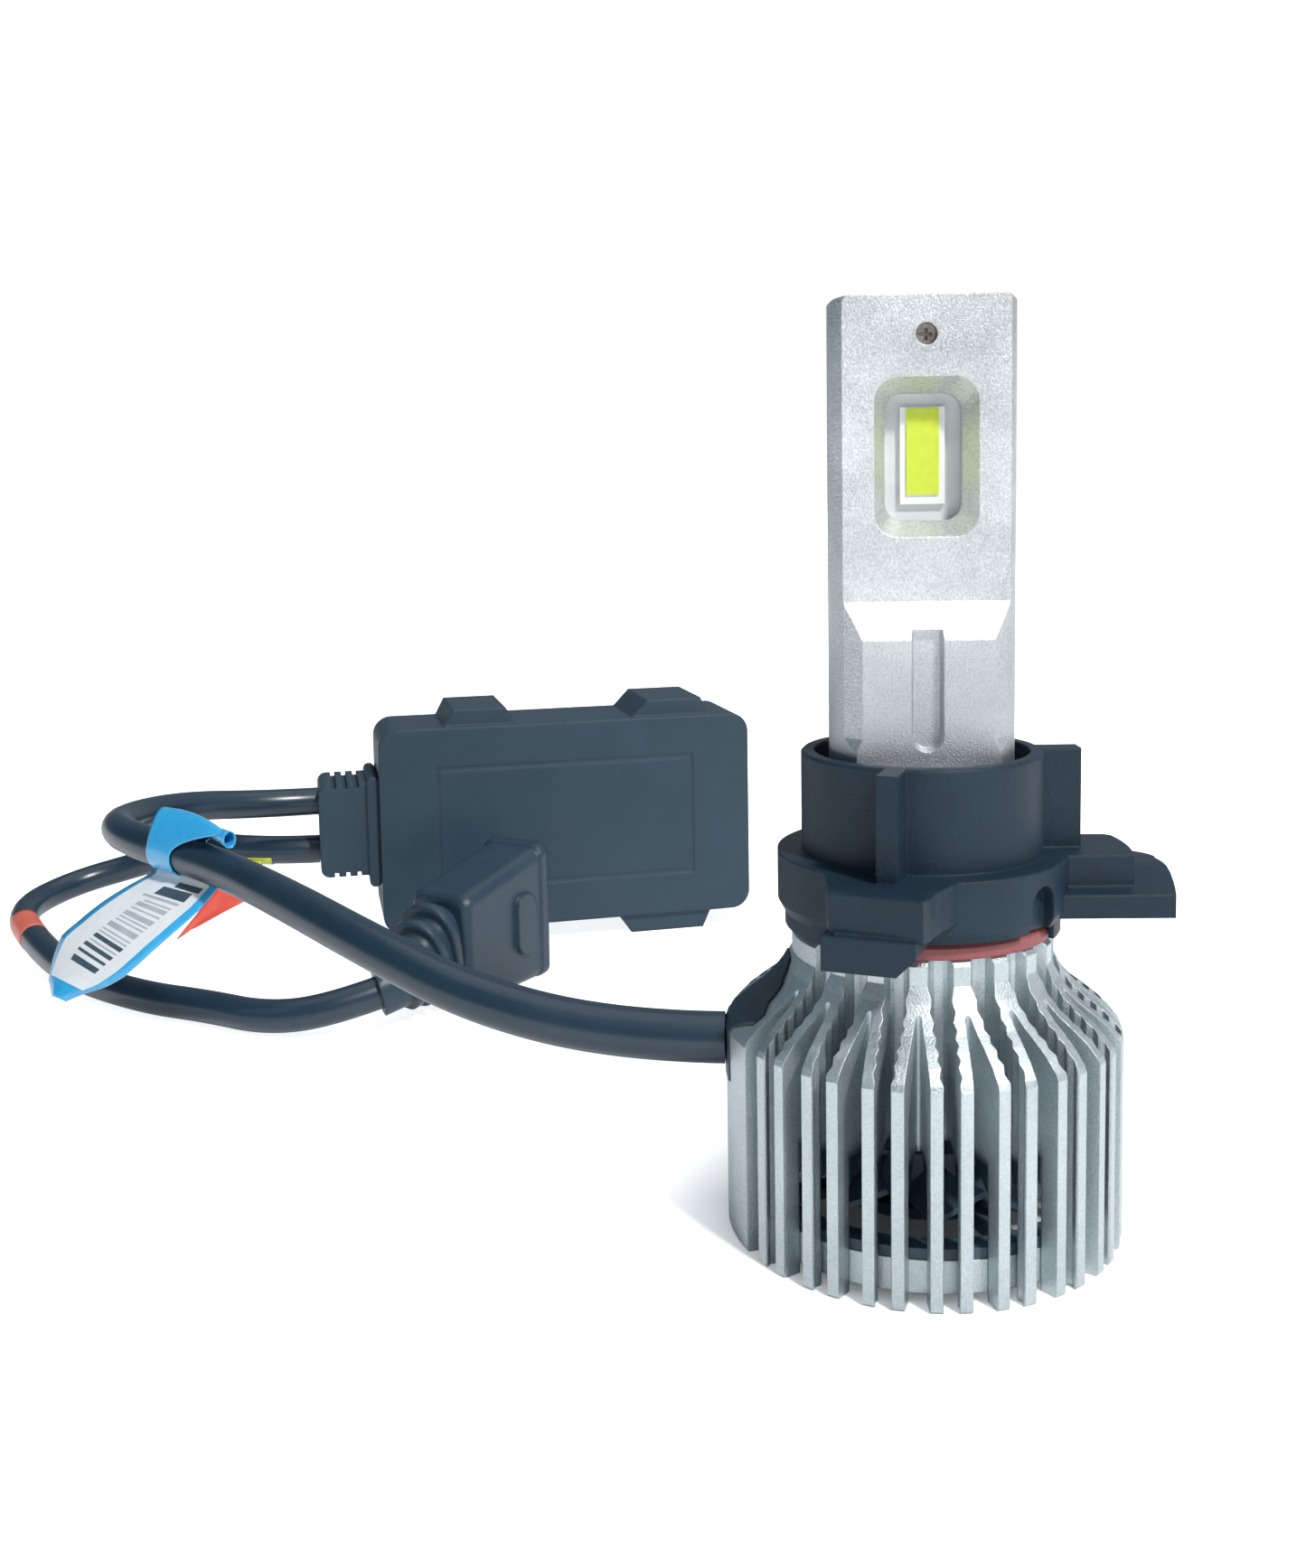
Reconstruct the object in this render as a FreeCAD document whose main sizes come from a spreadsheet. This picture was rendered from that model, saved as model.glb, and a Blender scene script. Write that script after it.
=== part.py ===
import FreeCAD, Part
import math
import os
import Sketcher
from FreeCAD import Placement, Rotation, Vector

# LED headlight bulb with fan-cooled heat sink, in-line driver box and plug.
# Frame: origin at the centre of the heat sink's bottom face, on the surface it
# stands on; +Z runs up the lamp mast and the front LED faces -Y.  Millimetres.

doc = FreeCAD.newDocument("headlight_bulb")
dims = doc.addObject("Spreadsheet::Sheet", "Dims")
DIM = [
    # heat sink
    ("sink_rim_radius", 16.5), ("sink_rim_height", 17.2), ("sink_edge", 0.2),
    ("neck_radius", 10.85), ("neck_top", 25.57), ("neck_chamfer", 0.5), ("flare_top", 23.55),
    ("spigot_radius", 8.8), ("spigot_top", 36.0),
    ("cavity_radius", 14.9), ("cavity_wall_height", 8.4), ("cavity_roof_radius", 12.4), ("cavity_roof", 10.8),
    ("bore_radius", 7.65), ("bore_floor", 13.4),
    ("fin_pairs", 20), ("flute_angle", 0.65), ("gap_angle", 9.7),
    ("flute_inner_radius", 9.75), ("flute_width_inner", 1.8), ("flute_width_rim", 1.4),
    ("wave_depth", 0.11), ("wave_length", 1.0),
    ("gap_inner_radius", 12.0), ("gap_tip_radius", 0.25), ("gap_half_width", 0.99),
    ("slot_floor", 12.9),
    # mast
    ("mast_radius", 7.62), ("mast_foot", 13.4), ("mast_top", 77.2), ("mast_chamfer", 0.35),
    ("upper_flat", 3.61), ("upper_flat_bottom", 52.96), ("lower_flat", 5.0), ("lower_flat_top", 49.93),
    ("lower_flat_bottom", 39.3), ("runout_bottom", 38.2),
    ("side_chamfer_distance", 7.25), ("side_chamfer_x", 0.68), ("side_chamfer_y", 0.733), ("side_chamfer_bottom", 42.0), ("side_chamfer_slope", 3.108),
    ("board_thickness", 1.0), ("board_half_width", 7.45), ("board_top", 77.0),
    ("window_half_width", 4.15), ("window_bottom", 58.21), ("window_top", 70.68), ("window_corner", 1.85),
    ("window_inner_half_width", 3.12), ("window_inner_bottom", 59.35), ("window_inner_top", 69.6), ("window_inner_corner", 1.5), ("window_bevel_depth", 2.0),
    ("led_half_width", 1.82), ("led_bottom", 60.69), ("led_top", 68.56), ("led_thickness", 0.45),
    ("phosphor_half_width", 1.31), ("phosphor_bottom", 61.47), ("phosphor_top", 68.41), ("phosphor_thickness", 0.15),
    ("mast_screw_height", 74.14), ("mast_screw_hole", 0.875), ("mast_screw_radius", 0.84), ("mast_screw_half_length", 2.9),
    ("slot_width", 2.58), ("slot_depth", 1.0), ("slot_bottom", 40.94), ("slot_top", 50.75), ("slot_offset", -0.08), ("slot_draft", 0.21),
    ("base_screw_offset", 4.2), ("base_screw_radius", 0.8), ("base_screw_head", 1.5), ("base_screw_head_height", 0.9), ("base_screw_length", 8.0),
    # collar
    ("collar_inner_radius", 8.9), ("sleeve_radius", 9.97), ("sleeve_top", 40.41), ("flange_radius", 12.0),
    ("flange_bottom", 27.05), ("flange_top", 32.05), ("skirt_radius", 11.4), ("skirt_inner_radius", 10.95), ("skirt_bottom", 25.8),
    ("key_radius", 13.1), ("key_width", 1.7), ("key_width_right", 2.0),
    ("seal_inner_radius", 8.86), ("seal_radius", 10.75), ("seal_bottom", 25.6), ("seal_top", 26.8),
    # fan
    ("retainer_inner_radius", 12.9), ("retainer_radius", 14.85), ("retainer_bottom", 0.8), ("retainer_top", 3.4),
    ("frame_radius", 14.75), ("frame_inner_radius", 13.0), ("frame_thickness", 0.9), ("frame_hub_radius", 8.2), ("frame_spoke_width", 1.8), ("frame_spokes", 4),
    ("bearing_outer", 1.5), ("bearing_inner", 0.8), ("bearing_bottom", 4.5), ("bearing_top", 7.6),
    ("shaft_radius", 0.75), ("shaft_bottom", 4.6), ("shaft_top", 8.6),
    ("rotor_radius", 7.6), ("rotor_inner_radius", 7.1), ("rotor_bottom", 4.9), ("rotor_top", 8.6), ("rotor_cap", 0.5), ("blade_tip_radius", 13.2), ("blade_count", 11), ("blade_thickness", 0.45),
    ("magnet_inner_radius", 6.5), ("magnet_top", 7.6),
    ("stator_radius", 6.2), ("stator_bottom", 5.3), ("stator_top", 7.2),
    ("screw_circle", 13.88), ("screw_radius", 0.4), ("screw_head_radius", 0.68), ("screw_count", 4),
    # cables
    ("cable_diameter", 4.2),
    # driver
    ("driver_length", 51.56), ("driver_depth", 13.95), ("driver_bottom", 2.53), ("driver_top", 30.59), ("driver_corner", 2.6),
    ("driver_split", 9.5), ("driver_wall", 1.5), ("driver_angle", 15.41), ("driver_x", -62.6), ("driver_y", 75.68),
    ("lug_height", 2.5), ("relief_length", 8.0), ("relief_bottom", 10.7), ("relief_top", 23.3), ("relief_half_width", 5.3),
    # plug
    ("plug_length", 16.0), ("plug_width", 9.0), ("plug_height", 13.8), ("plug_mouth_height", 17.2), ("plug_corner", 1.6), ("plug_wall", 1.3), ("plug_socket_depth", 10.0),
    ("plug_angle", 60.0), ("plug_x", -51.2), ("plug_y", 54.6),
    ("blade_width", 2.8), ("blade_depth", 0.8), ("terminal_length", 4.5), ("terminal_pitch", 5.0),
]
for row, (alias, value) in enumerate(DIM, 1):
    dims.set("A%d" % row, alias)
    dims.set("B%d" % row, str(value))
    dims.setAlias("B%d" % row, alias)
doc.recompute()


def V(alias):
    return float(getattr(dims, alias))


def bind(obj, prop, rule):
    """Binds a property to the sheet; $name in the rule means that cell."""
    if isinstance(rule, str):
        obj.setExpression(prop, rule.replace("$", "Dims."))
    else:
        raise ValueError("rule must be text")


def place(obj, x=None, y=None, z=None):
    for axis, rule in (("x", x), ("y", y), ("z", z)):
        if rule is not None:
            bind(obj, "Placement.Base." + axis, rule)


def cyl(name, radius, height, x=None, y=None, z=None, rot=None):
    o = doc.addObject("Part::Cylinder", name)
    bind(o, "Radius", radius)
    bind(o, "Height", height)
    if rot is not None:
        o.Placement = Placement(Vector(0, 0, 0), rot)
    place(o, x, y, z)
    return o


def box(name, lx, ly, lz, x=None, y=None, z=None):
    o = doc.addObject("Part::Box", name)
    bind(o, "Length", lx)
    bind(o, "Width", ly)
    bind(o, "Height", lz)
    place(o, x, y, z)
    return o


def cut(name, base, tool):
    o = doc.addObject("Part::Cut", name)
    o.Base = base
    o.Tool = tool
    return o


def fuse(name, shapes):
    o = doc.addObject("Part::MultiFuse", name)
    o.Shapes = shapes
    o.Refine = True
    return o


def common(name, shapes):
    o = doc.addObject("Part::MultiCommon", name)
    o.Shapes = shapes
    return o


def feature(name, shape, placement=None):
    o = doc.addObject("Part::Feature", name)
    o.Shape = shape
    if placement is not None:
        o.Placement = placement
    return o


def plane_of(body, role):
    for f in body.Origin.OriginFeatures:
        if f.Role == role:
            return f
    raise ValueError(role)


def outline(body, name, pts, role):
    """Closed polyline sketch on one of the body's own planes; each corner is
    held by two dimensions bound to the sheet (text) or by a fixed number."""
    sk = body.newObject("Sketcher::SketchObject", name)
    sk.AttachmentSupport = [(plane_of(body, role), "")]
    sk.MapMode = "FlatFace"
    num = []
    for p in pts:
        q = []
        for c in p:
            if isinstance(c, str):
                e = c
                for a, v in sorted(DIM, key=lambda d: -len(d[0])):
                    e = e.replace("$" + a, "(%r)" % v)
                q.append(calc(e))
            else:
                q.append(float(c))
        num.append(q)
    n = len(pts)
    for i in range(n):
        a, b = num[i], num[(i + 1) % n]
        sk.addGeometry(Part.LineSegment(Vector(a[0], a[1], 0), Vector(b[0], b[1], 0)), False)
    for i in range(n):
        sk.addConstraint(Sketcher.Constraint("Coincident", i, 2, (i + 1) % n, 1))
    for i in range(n):
        for k, kind in ((0, "DistanceX"), (1, "DistanceY")):
            c = num[i][k]
            if abs(c) < 1e-9:
                sk.addConstraint(Sketcher.Constraint("PointOnObject", i, 1, -2 if k == 0 else -1))
                continue
            idx = sk.addConstraint(Sketcher.Constraint(kind, -1, 1, i, 1, c))
            if isinstance(pts[i][k], str):
                sk.setExpression("Constraints[%d]" % idx, pts[i][k].replace("$", "Dims."))
    return sk


def calc(text):
    """Sum, difference, product and quotient of bracketed numbers."""
    pos = [0]

    def atom():
        while text[pos[0]] == " ":
            pos[0] += 1
        if text[pos[0]] == "(":
            pos[0] += 1
            v = expr()
            pos[0] += 1
            return v
        if text[pos[0]] == "-":
            pos[0] += 1
            return -atom()
        st = pos[0]
        while pos[0] < len(text) and text[pos[0]] in "0123456789.e":
            pos[0] += 1
        return float(text[st:pos[0]])

    def skip():
        while pos[0] < len(text) and text[pos[0]] == " ":
            pos[0] += 1

    def term():
        v = atom()
        skip()
        while pos[0] < len(text) and text[pos[0]] in "*/":
            op = text[pos[0]]
            pos[0] += 1
            w = atom()
            v = v * w if op == "*" else v / w
            skip()
        return v

    def expr():
        v = term()
        skip()
        while pos[0] < len(text) and text[pos[0]] in "+-":
            op = text[pos[0]]
            pos[0] += 1
            w = term()
            v = v + w if op == "+" else v - w
            skip()
        return v

    return expr()


def turned(name, pts):
    """PartDesign body revolved about Z; pts are (radius, height)."""
    body = doc.addObject("PartDesign::Body", name)
    sk = outline(body, name + "_profile", pts, "XZ_Plane")
    rev = body.newObject("PartDesign::Revolution", name + "_turn")
    rev.Profile = sk
    rev.ReferenceAxis = (sk, ["V_Axis"])
    rev.Angle = 360.0
    body.Tip = rev
    return body


def padded(name, pts, length, role="XY_Plane", both=False):
    body = doc.addObject("PartDesign::Body", name)
    sk = outline(body, name + "_outline", pts, role)
    pad = body.newObject("PartDesign::Pad", name + "_pad")
    pad.Profile = sk
    bind(pad, "Length", length)
    if both:
        pad.Midplane = True
    body.Tip = pad
    return body


def prism(pts, z0, z1):
    w = Part.makePolygon([Vector(p[0], p[1], z0) for p in pts] + [Vector(pts[0][0], pts[0][1], z0)])
    return Part.Face(w).extrude(Vector(0, 0, z1 - z0))


def mirror_y(name, src):
    o = doc.addObject("Part::Mirroring", name)
    o.Source = src
    o.Normal = Vector(0, 1, 0)
    o.Base = Vector(0, 0, 0)
    return o


nodes = {}


def node(name, obj):
    obj.Label = name
    nodes[name] = obj
    return obj


# ---------------------------------------------------------------- heat sink
envelope = turned("sink_envelope", [
    (0, 0), ("$sink_rim_radius - $sink_edge", 0), ("$sink_rim_radius", "$sink_edge"),
    ("$sink_rim_radius", "$sink_rim_height"), (16.3, 17.7), (15.4, 18.7), (14.3, 19.6), (13.2, 20.4),
    (12.2, 21.35), (11.5, 22.3), ("$neck_radius", "$flare_top"), ("$neck_radius", "$neck_top - $neck_chamfer"),
    ("$neck_radius - $neck_chamfer", "$neck_top"), ("$spigot_radius", "$neck_top"),
    ("$spigot_radius", "$spigot_top"), (0, "$spigot_top")])
cavity = turned("fan_cavity", [
    (0, 0), ("$cavity_radius", 0), ("$cavity_radius", "$cavity_wall_height"),
    ("$cavity_roof_radius", "$cavity_roof"), (0, "$cavity_roof")])


def polar(r, t, az):
    """Point at radius r and sideways offset t from the ray at azimuth az."""
    a = math.radians(az)
    return (r * math.cos(a) - t * math.sin(a), r * math.sin(a) + t * math.cos(a))


def fin_gaps():
    """Fluted slots between the fin pairs and plain V slots inside each pair."""
    out = []
    pitch = 360.0 / V("fin_pairs")
    ri, rim = V("flute_inner_radius"), V("sink_rim_radius") + 0.6
    amp, wl = V("wave_depth"), V("wave_length")
    for k in range(int(V("fin_pairs"))):
        az = 270.0 + V("flute_angle") + pitch * k
        if k not in (15, 16):
            side = []
            r, i = ri + 0.55, 0
            while r < rim:
                half = V("flute_width_inner") / 2 + (V("flute_width_rim") - V("flute_width_inner")) / 2 * (r - 10.85) / (16.5 - 10.85)
                side.append((r, half + amp * (1 if i % 2 else -1)))
                r += wl / 2
                i += 1
            side.append((rim, side[-1][1]))
            tip = [(ri, 0.35), (ri + 0.18, 0.66)]
            ring = [polar(r, t, az) for r, t in tip + side] + [polar(r, -t, az) for r, t in reversed(tip + side)]
            out.append(prism(ring, -1, V("neck_top") + 1))
        azg = 270.0 + V("gap_angle") + pitch * k
        if k != 15:
            r0, r1 = V("gap_inner_radius"), V("sink_rim_radius") + 0.6
            t0 = V("gap_tip_radius")
            t1 = V("gap_half_width") + (V("gap_half_width") - t0) / (16.5 - r0) * 0.6
            ring = [polar(r0, 0.1, azg), polar(r0 + 0.12, t0 * 0.9, azg), polar(r1, t1, azg),
                    polar(r1, -t1, azg), polar(r0 + 0.12, -t0 * 0.9, azg), polar(r0, -0.1, azg)]
            out.append(prism(ring, -1, V("neck_top") + 1))
    return Part.makeCompound(out)


gaps = feature("fin_slots", fin_gaps())
SLOT = [(-11.0, 1.6), (-11.0, -1.6), (-11.7, -2.9), (-11.9, -3.6), (-13.0, -4.3), (-13.35, -5.5),
        (-14.3, -5.7), (-16.25, -3.07), (-18.5, -2.9), (-18.5, 1.6)]
cable_slot = feature("cable_slot", prism(SLOT, V("slot_floor"), 24.0))
wire_hole = cyl("wire_hole", "1.7", "$slot_floor - $cavity_roof + 3", "-12.4", "-0.6", "$cavity_roof - 2")
bore = cyl("mast_bore", "$bore_radius", "$spigot_top - $bore_floor + 1", z="$bore_floor")
screw_hole_a = cyl("foot_hole_front", "$base_screw_radius", "6", y="-$base_screw_offset", z="$cavity_roof - 1")
screw_hole_b = cyl("foot_hole_rear", "$base_screw_radius", "6", y="$base_screw_offset", z="$cavity_roof - 1")
sink_tools = fuse("sink_tools", [cavity, cable_slot, wire_hole, bore, screw_hole_a, screw_hole_b])
finned = cut("sink_finned", envelope, gaps)
node("heat_sink", cut("heat_sink", finned, sink_tools))

# --------------------------------------------------------------------- mast
mast_round = turned("mast_round", [
    (0, "$mast_foot"), ("$mast_radius", "$mast_foot"), ("$mast_radius", "$mast_top - $mast_chamfer"),
    ("$mast_radius - $mast_chamfer", "$mast_top"), (0, "$mast_top")])
# side view of the front half, drawn as (distance in front of the board, height)
mast_side = padded("mast_side", [
    ("-$board_thickness / 2", "$mast_foot - 0.5"), (-9, "$mast_foot - 0.5"), (-9, "$runout_bottom - 0.6"),
    ("-$mast_radius", "$runout_bottom"), ("-$lower_flat", "$lower_flat_bottom"), ("-$lower_flat", "$lower_flat_top"),
    ("-$upper_flat", "$upper_flat_bottom"), ("-$upper_flat", "$mast_top + 0.5"), ("-$board_thickness / 2", "$mast_top + 0.5")],
    "20", "YZ_Plane", both=True)
mast_half = common("mast_half", [mast_round, mast_side])


def side_chamfers():
    """Slanted flats between the lower front flat and the round sides."""
    out = []
    d, zb = V("side_chamfer_distance"), V("side_chamfer_bottom")
    for sgn in (-1, 1):
        n = Vector(sgn * V("side_chamfer_x"), -V("side_chamfer_y"), 0)
        n.normalize()
        t = Vector(-n.y, n.x, 0) * 10
        ring = [n * r + Vector(0, 0, z) - t for r, z in ((d, zb), (d + 1.75, zb - 1.75 * V("side_chamfer_slope")), (d + 1.75, 80.0), (d, 80.0))]
        out.append(Part.Face(Part.makePolygon(ring + [ring[0]])).extrude(t * 2))
    return Part.makeCompound(out)


mast_blank = cut("mast_blank", mast_half, feature("side_chamfers", side_chamfers()))


def rounded_rect(hw, zb, zt, r, y):
    """Rounded rectangle standing in the plane at depth y."""
    e = []
    c = [(hw - r, zt - r, 0), (-hw + r, zt - r, 90), (-hw + r, zb + r, 180), (hw - r, zb + r, 270)]
    for i, (cx, cz, a0) in enumerate(c):
        p = [Vector(cx + r * math.cos(math.radians(a0 + a)), y, cz + r * math.sin(math.radians(a0 + a))) for a in (0, 45, 90)]
        e.append(Part.Arc(*p).toShape())
        n = c[(i + 1) % 4]
        q = Vector(n[0] + r * math.cos(math.radians(n[2])), y, n[1] + r * math.sin(math.radians(n[2])))
        if (q - p[2]).Length > 1e-6:
            e.append(Part.LineSegment(p[2], q).toShape())
    return Part.Wire(e)


ext = 0.3
slope = (V("window_half_width") - V("window_inner_half_width")) / V("window_bevel_depth")
bevel = Part.makeLoft([
    rounded_rect(V("window_half_width") + ext * slope, V("window_bottom") - ext, V("window_top") + ext, V("window_corner") + 0.1, -V("upper_flat") - ext),
    rounded_rect(V("window_inner_half_width"), V("window_inner_bottom"), V("window_inner_top"), V("window_inner_corner"), -V("upper_flat") + V("window_bevel_depth"))], True, True)
pit = Part.Face(rounded_rect(V("window_inner_half_width"), V("window_inner_bottom"), V("window_inner_top"), V("window_inner_corner"), -V("upper_flat") + V("window_bevel_depth") - 0.05)).extrude(Vector(0, 4, 0))
window = feature("led_window", bevel.fuse(pit))
along_y = Rotation(Vector(1, 0, 0), -90)
mast_hole = cyl("mast_hole", "$mast_screw_hole", "20", y="-10", z="$mast_screw_height", rot=along_y)


def groove_ring(half, zb, zt, y):
    """Outline of the long groove at one depth: square top, round bottom."""
    cx = V("slot_offset")
    low = zb + half
    return Part.Wire([
        Part.LineSegment(Vector(cx + half, y, zt), Vector(cx - half, y, zt)).toShape(),
        Part.LineSegment(Vector(cx - half, y, zt), Vector(cx - half, y, low)).toShape(),
        Part.Arc(Vector(cx - half, y, low), Vector(cx, y, zb), Vector(cx + half, y, low)).toShape(),
        Part.LineSegment(Vector(cx + half, y, low), Vector(cx + half, y, zt)).toShape()])


over, draft = 0.6, V("slot_draft")
groove = feature("groove", Part.makeLoft([
    groove_ring(V("slot_width") / 2 + over * draft, V("slot_bottom") - over * draft, V("slot_top"), -V("lower_flat") - over),
    groove_ring(V("slot_width") / 2 - V("slot_depth") * draft, V("slot_bottom") + V("slot_depth") * draft, V("slot_top") - 0.03, -V("lower_flat") + V("slot_depth"))], True, True))
foot_hole = cyl("foot_thread", "$base_screw_radius", "$base_screw_length - 2", y="-$base_screw_offset", z="$mast_foot - 0.5")
mast_tools = fuse("mast_tools", [window, mast_hole, groove, foot_hole])
mast_front = node("mast_front", cut("mast_front", mast_blank, mast_tools))
node("mast_rear", mirror_y("mast_rear", mast_front))
board_plate = padded("board_plate", [
    ("-$board_half_width", "$mast_foot"), ("$board_half_width", "$mast_foot"), ("$board_half_width", "$board_top - 0.8"),
    ("$board_half_width - 0.8", "$board_top"), ("-$board_half_width + 0.8", "$board_top"), ("-$board_half_width", "$board_top - 0.8")],
    "$board_thickness", "XZ_Plane", both=True)
board_hole = cyl("board_hole", "$mast_screw_hole", "4", y="-2", z="$mast_screw_height", rot=along_y)
node("led_board", cut("led_board", board_plate, board_hole))
led_front = node("led_front", box("led_front", "2 * $led_half_width", "$led_thickness", "$led_top - $led_bottom",
                                  "-$led_half_width", "-$board_thickness / 2 - $led_thickness", "$led_bottom"))
phosphor_front = node("phosphor_front", box("phosphor_front", "2 * $phosphor_half_width", "$phosphor_thickness", "$phosphor_top - $phosphor_bottom",
                                            "-$phosphor_half_width", "-$board_thickness / 2 - $led_thickness - $phosphor_thickness", "$phosphor_bottom"))
node("led_rear", mirror_y("led_rear", led_front))
node("phosphor_rear", mirror_y("phosphor_rear", phosphor_front))
screw_body = cyl("mast_screw_body", "$mast_screw_radius", "2 * $mast_screw_half_length", y="-$mast_screw_half_length", z="$mast_screw_height", rot=along_y)
drive = feature("screw_drive", Part.makeBox(1.0, 0.6, 0.28, Vector(-0.5, -V("mast_screw_half_length"), V("mast_screw_height") - 0.14)).fuse(
    Part.makeBox(0.28, 0.6, 1.0, Vector(-0.14, -V("mast_screw_half_length"), V("mast_screw_height") - 0.5))))
node("mast_screw", cut("mast_screw", screw_body, drive))
base_screw = [cyl("foot_shank", "$base_screw_radius", "$base_screw_length - 0.4", y="-$base_screw_offset", z="$cavity_roof - 0.1"),
              cyl("foot_head", "$base_screw_head", "$base_screw_head_height", y="-$base_screw_offset", z="$cavity_roof - $base_screw_head_height"),
              ]
one_screw = fuse("foot_screw", base_screw)
other_screw = mirror_y("foot_screw_rear", one_screw)
pair = doc.addObject("Part::Compound", "mast_base_screws")
pair.Links = [one_screw, other_screw]
node("mast_base_screws", pair)

# ------------------------------------------------------------------- collar
sleeve = turned("collar_sleeve", [
    ("$collar_inner_radius", "$flange_bottom"), ("$flange_radius - 0.5", "$flange_bottom"), ("$flange_radius", "$flange_bottom + 0.9"),
    ("$flange_radius", "$flange_top"), ("$sleeve_radius", "$flange_top"), ("$sleeve_radius", "$sleeve_top - 0.2"),
    ("$sleeve_radius - 0.2", "$sleeve_top"), ("$collar_inner_radius", "$sleeve_top")])


def arc_pts(cx, cy, r, a0, a1, n=8):
    return [(cx + r * math.cos(math.radians(a0 + (a1 - a0) * i / n)), cy + r * math.sin(math.radians(a0 + (a1 - a0) * i / n))) for i in range(n + 1)]


def collar_extras():
    zt, zb = V("flange_top"), V("flange_bottom")
    out = []
    # front-left bayonet lug: upper tongue, then a lower foot with an arched top edge
    upper = [(-8.71, -8.27), (-8.73, -14.57), (-2.1, -17.29), (-1.55, -16.6), (-0.9, -15.2), (0.0, -13.7), (1.46, -11.6), (0.6, -9.3), (-4.0, -8.6)]
    out.append(prism(upper, 28.8, zt))
    ax = math.radians(250.6)
    u = (math.cos(ax), math.sin(ax))
    s = (-math.sin(ax), math.cos(ax))

    def pt(r, t):
        return (u[0] * r + s[0] * t, u[1] * r + s[1] * t)
    foot = prism([pt(9.3, -3.9), pt(17.25, -3.9), pt(17.25, 3.3), pt(9.3, 3.3)], 26.2, 28.9)
    crown = prism([pt(9.3, -3.0), pt(17.0, -3.0), pt(17.0, 2.6), pt(9.3, 2.6)], 28.3, 29.2)
    nick = Part.makeBox(20, 3, 3, Vector(0, -1.5, -1.5))
    nick.Placement = Placement(Vector(pt(8, 3.75)[0], pt(8, 3.75)[1], 26.0), Rotation(Vector(u[0], u[1], 0), 45).multiply(Rotation(Vector(0, 0, 1), 250.6)))
    foot = foot.cut(Part.makeCylinder(V("skirt_inner_radius") + 0.2, zb - 26.1, Vector(0, 0, 26.1)))
    out.append(foot.cut(nick).fuse(crown))
    # right lug, two tiers
    tier1 = [(8.8, -3.5)] + arc_pts(0, 0, 17.15, -11.5, 13.0, 6) + [(16.2, 4.3), (8.8, 4.5)]
    out.append(prism(tier1, 29.15, zt))
    tier2 = [(8.8, -5.3)] + arc_pts(0, 0, 20.4, -15.06, 8.0, 6) + arc_pts(16.5, 2.8, 3.9, 10, 90, 6) + [(12.0, 6.9), (10.6, 7.8), (8.5, 8.4)]
    side = [(-5.4, 27.3), (-5.4, 29.2), (-4.1, 29.3), (-3.4, 29.47), (-2.2, 29.76), (-1.3, 30.02), (-0.1, 30.28), (0.9, 30.35), (2.5, 30.32),
            (6.0, 30.2), (9.0, 29.8), (9.0, 27.3)]
    ring = [Vector(8.0, y, z) for y, z in side]
    out.append(prism(tier2, 27.3, 31.0).common(Part.Face(Part.makePolygon(ring + [ring[0]])).extrude(Vector(14, 0, 0))))
    # rear lug, same plan as the front-left one turned round
    rear = prism([(polar(9.3, -3.4, 110)), (polar(16.9, -3.4, 110)), (polar(16.9, 3.4, 110)), (polar(9.3, 3.4, 110))], 27.3, zt)
    out.append(rear)
    # keys on the sleeve
    for az, w, r in ((251.3, V("key_width"), V("key_radius")), (1.9, V("key_width_right"), V("key_radius")), (110.0, V("key_width"), V("key_radius"))):
        out.append(prism([polar(9.3, -w / 2, az), polar(r, -w / 2, az), polar(r, w / 2, az), polar(9.3, w / 2, az)], zt - 1, V("sleeve_top")))
    # skirt that covers the seal on the left and at the back
    a0, a1 = -30.0 + 360, -100.0 + 360
    ring = Part.makeCylinder(V("skirt_radius"), zb - V("skirt_bottom") + 0.5, Vector(0, 0, V("skirt_bottom"))).cut(
        Part.makeCylinder(V("skirt_inner_radius"), 4, Vector(0, 0, V("skirt_bottom") - 1)))
    wedge = prism([(0, 0)] + arc_pts(0, 0, 20, a1, a0, 6), 20, 30)
    out.append(ring.cut(wedge))
    body = out[0]
    for p in out[1:]:
        body = body.fuse(p)
    return body.removeSplitter()


extras = feature("collar_lugs", collar_extras())
collar_sum = fuse("collar_sum", [sleeve, extras])
inner = cyl("collar_bore", "$collar_inner_radius", "20", z="25")
notch_az = math.radians(-44.5)
notch = Part.makeBox(6, 3.0, 2.4, Vector(0, -1.5, 0)).fuse(Part.makeCylinder(1.5, 6, Vector(0, 0, 2.4), Vector(1, 0, 0)))
notch.Placement = Placement(Vector(10.9 * math.cos(notch_az), 10.9 * math.sin(notch_az), 26.9), Rotation(Vector(0, 0, 1), math.degrees(notch_az)))
collar_tools = fuse("collar_tools", [inner, feature("index_notch", notch)])
node("collar", cut("collar", collar_sum, collar_tools))
node("collar_seal", turned("collar_seal", [
    ("$seal_inner_radius", "$seal_bottom"), ("$seal_radius", "$seal_bottom"), ("$seal_radius", "$seal_top - 0.3"),
    ("$seal_radius - 0.3", "$seal_top"), ("$seal_inner_radius", "$seal_top")]))

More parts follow.
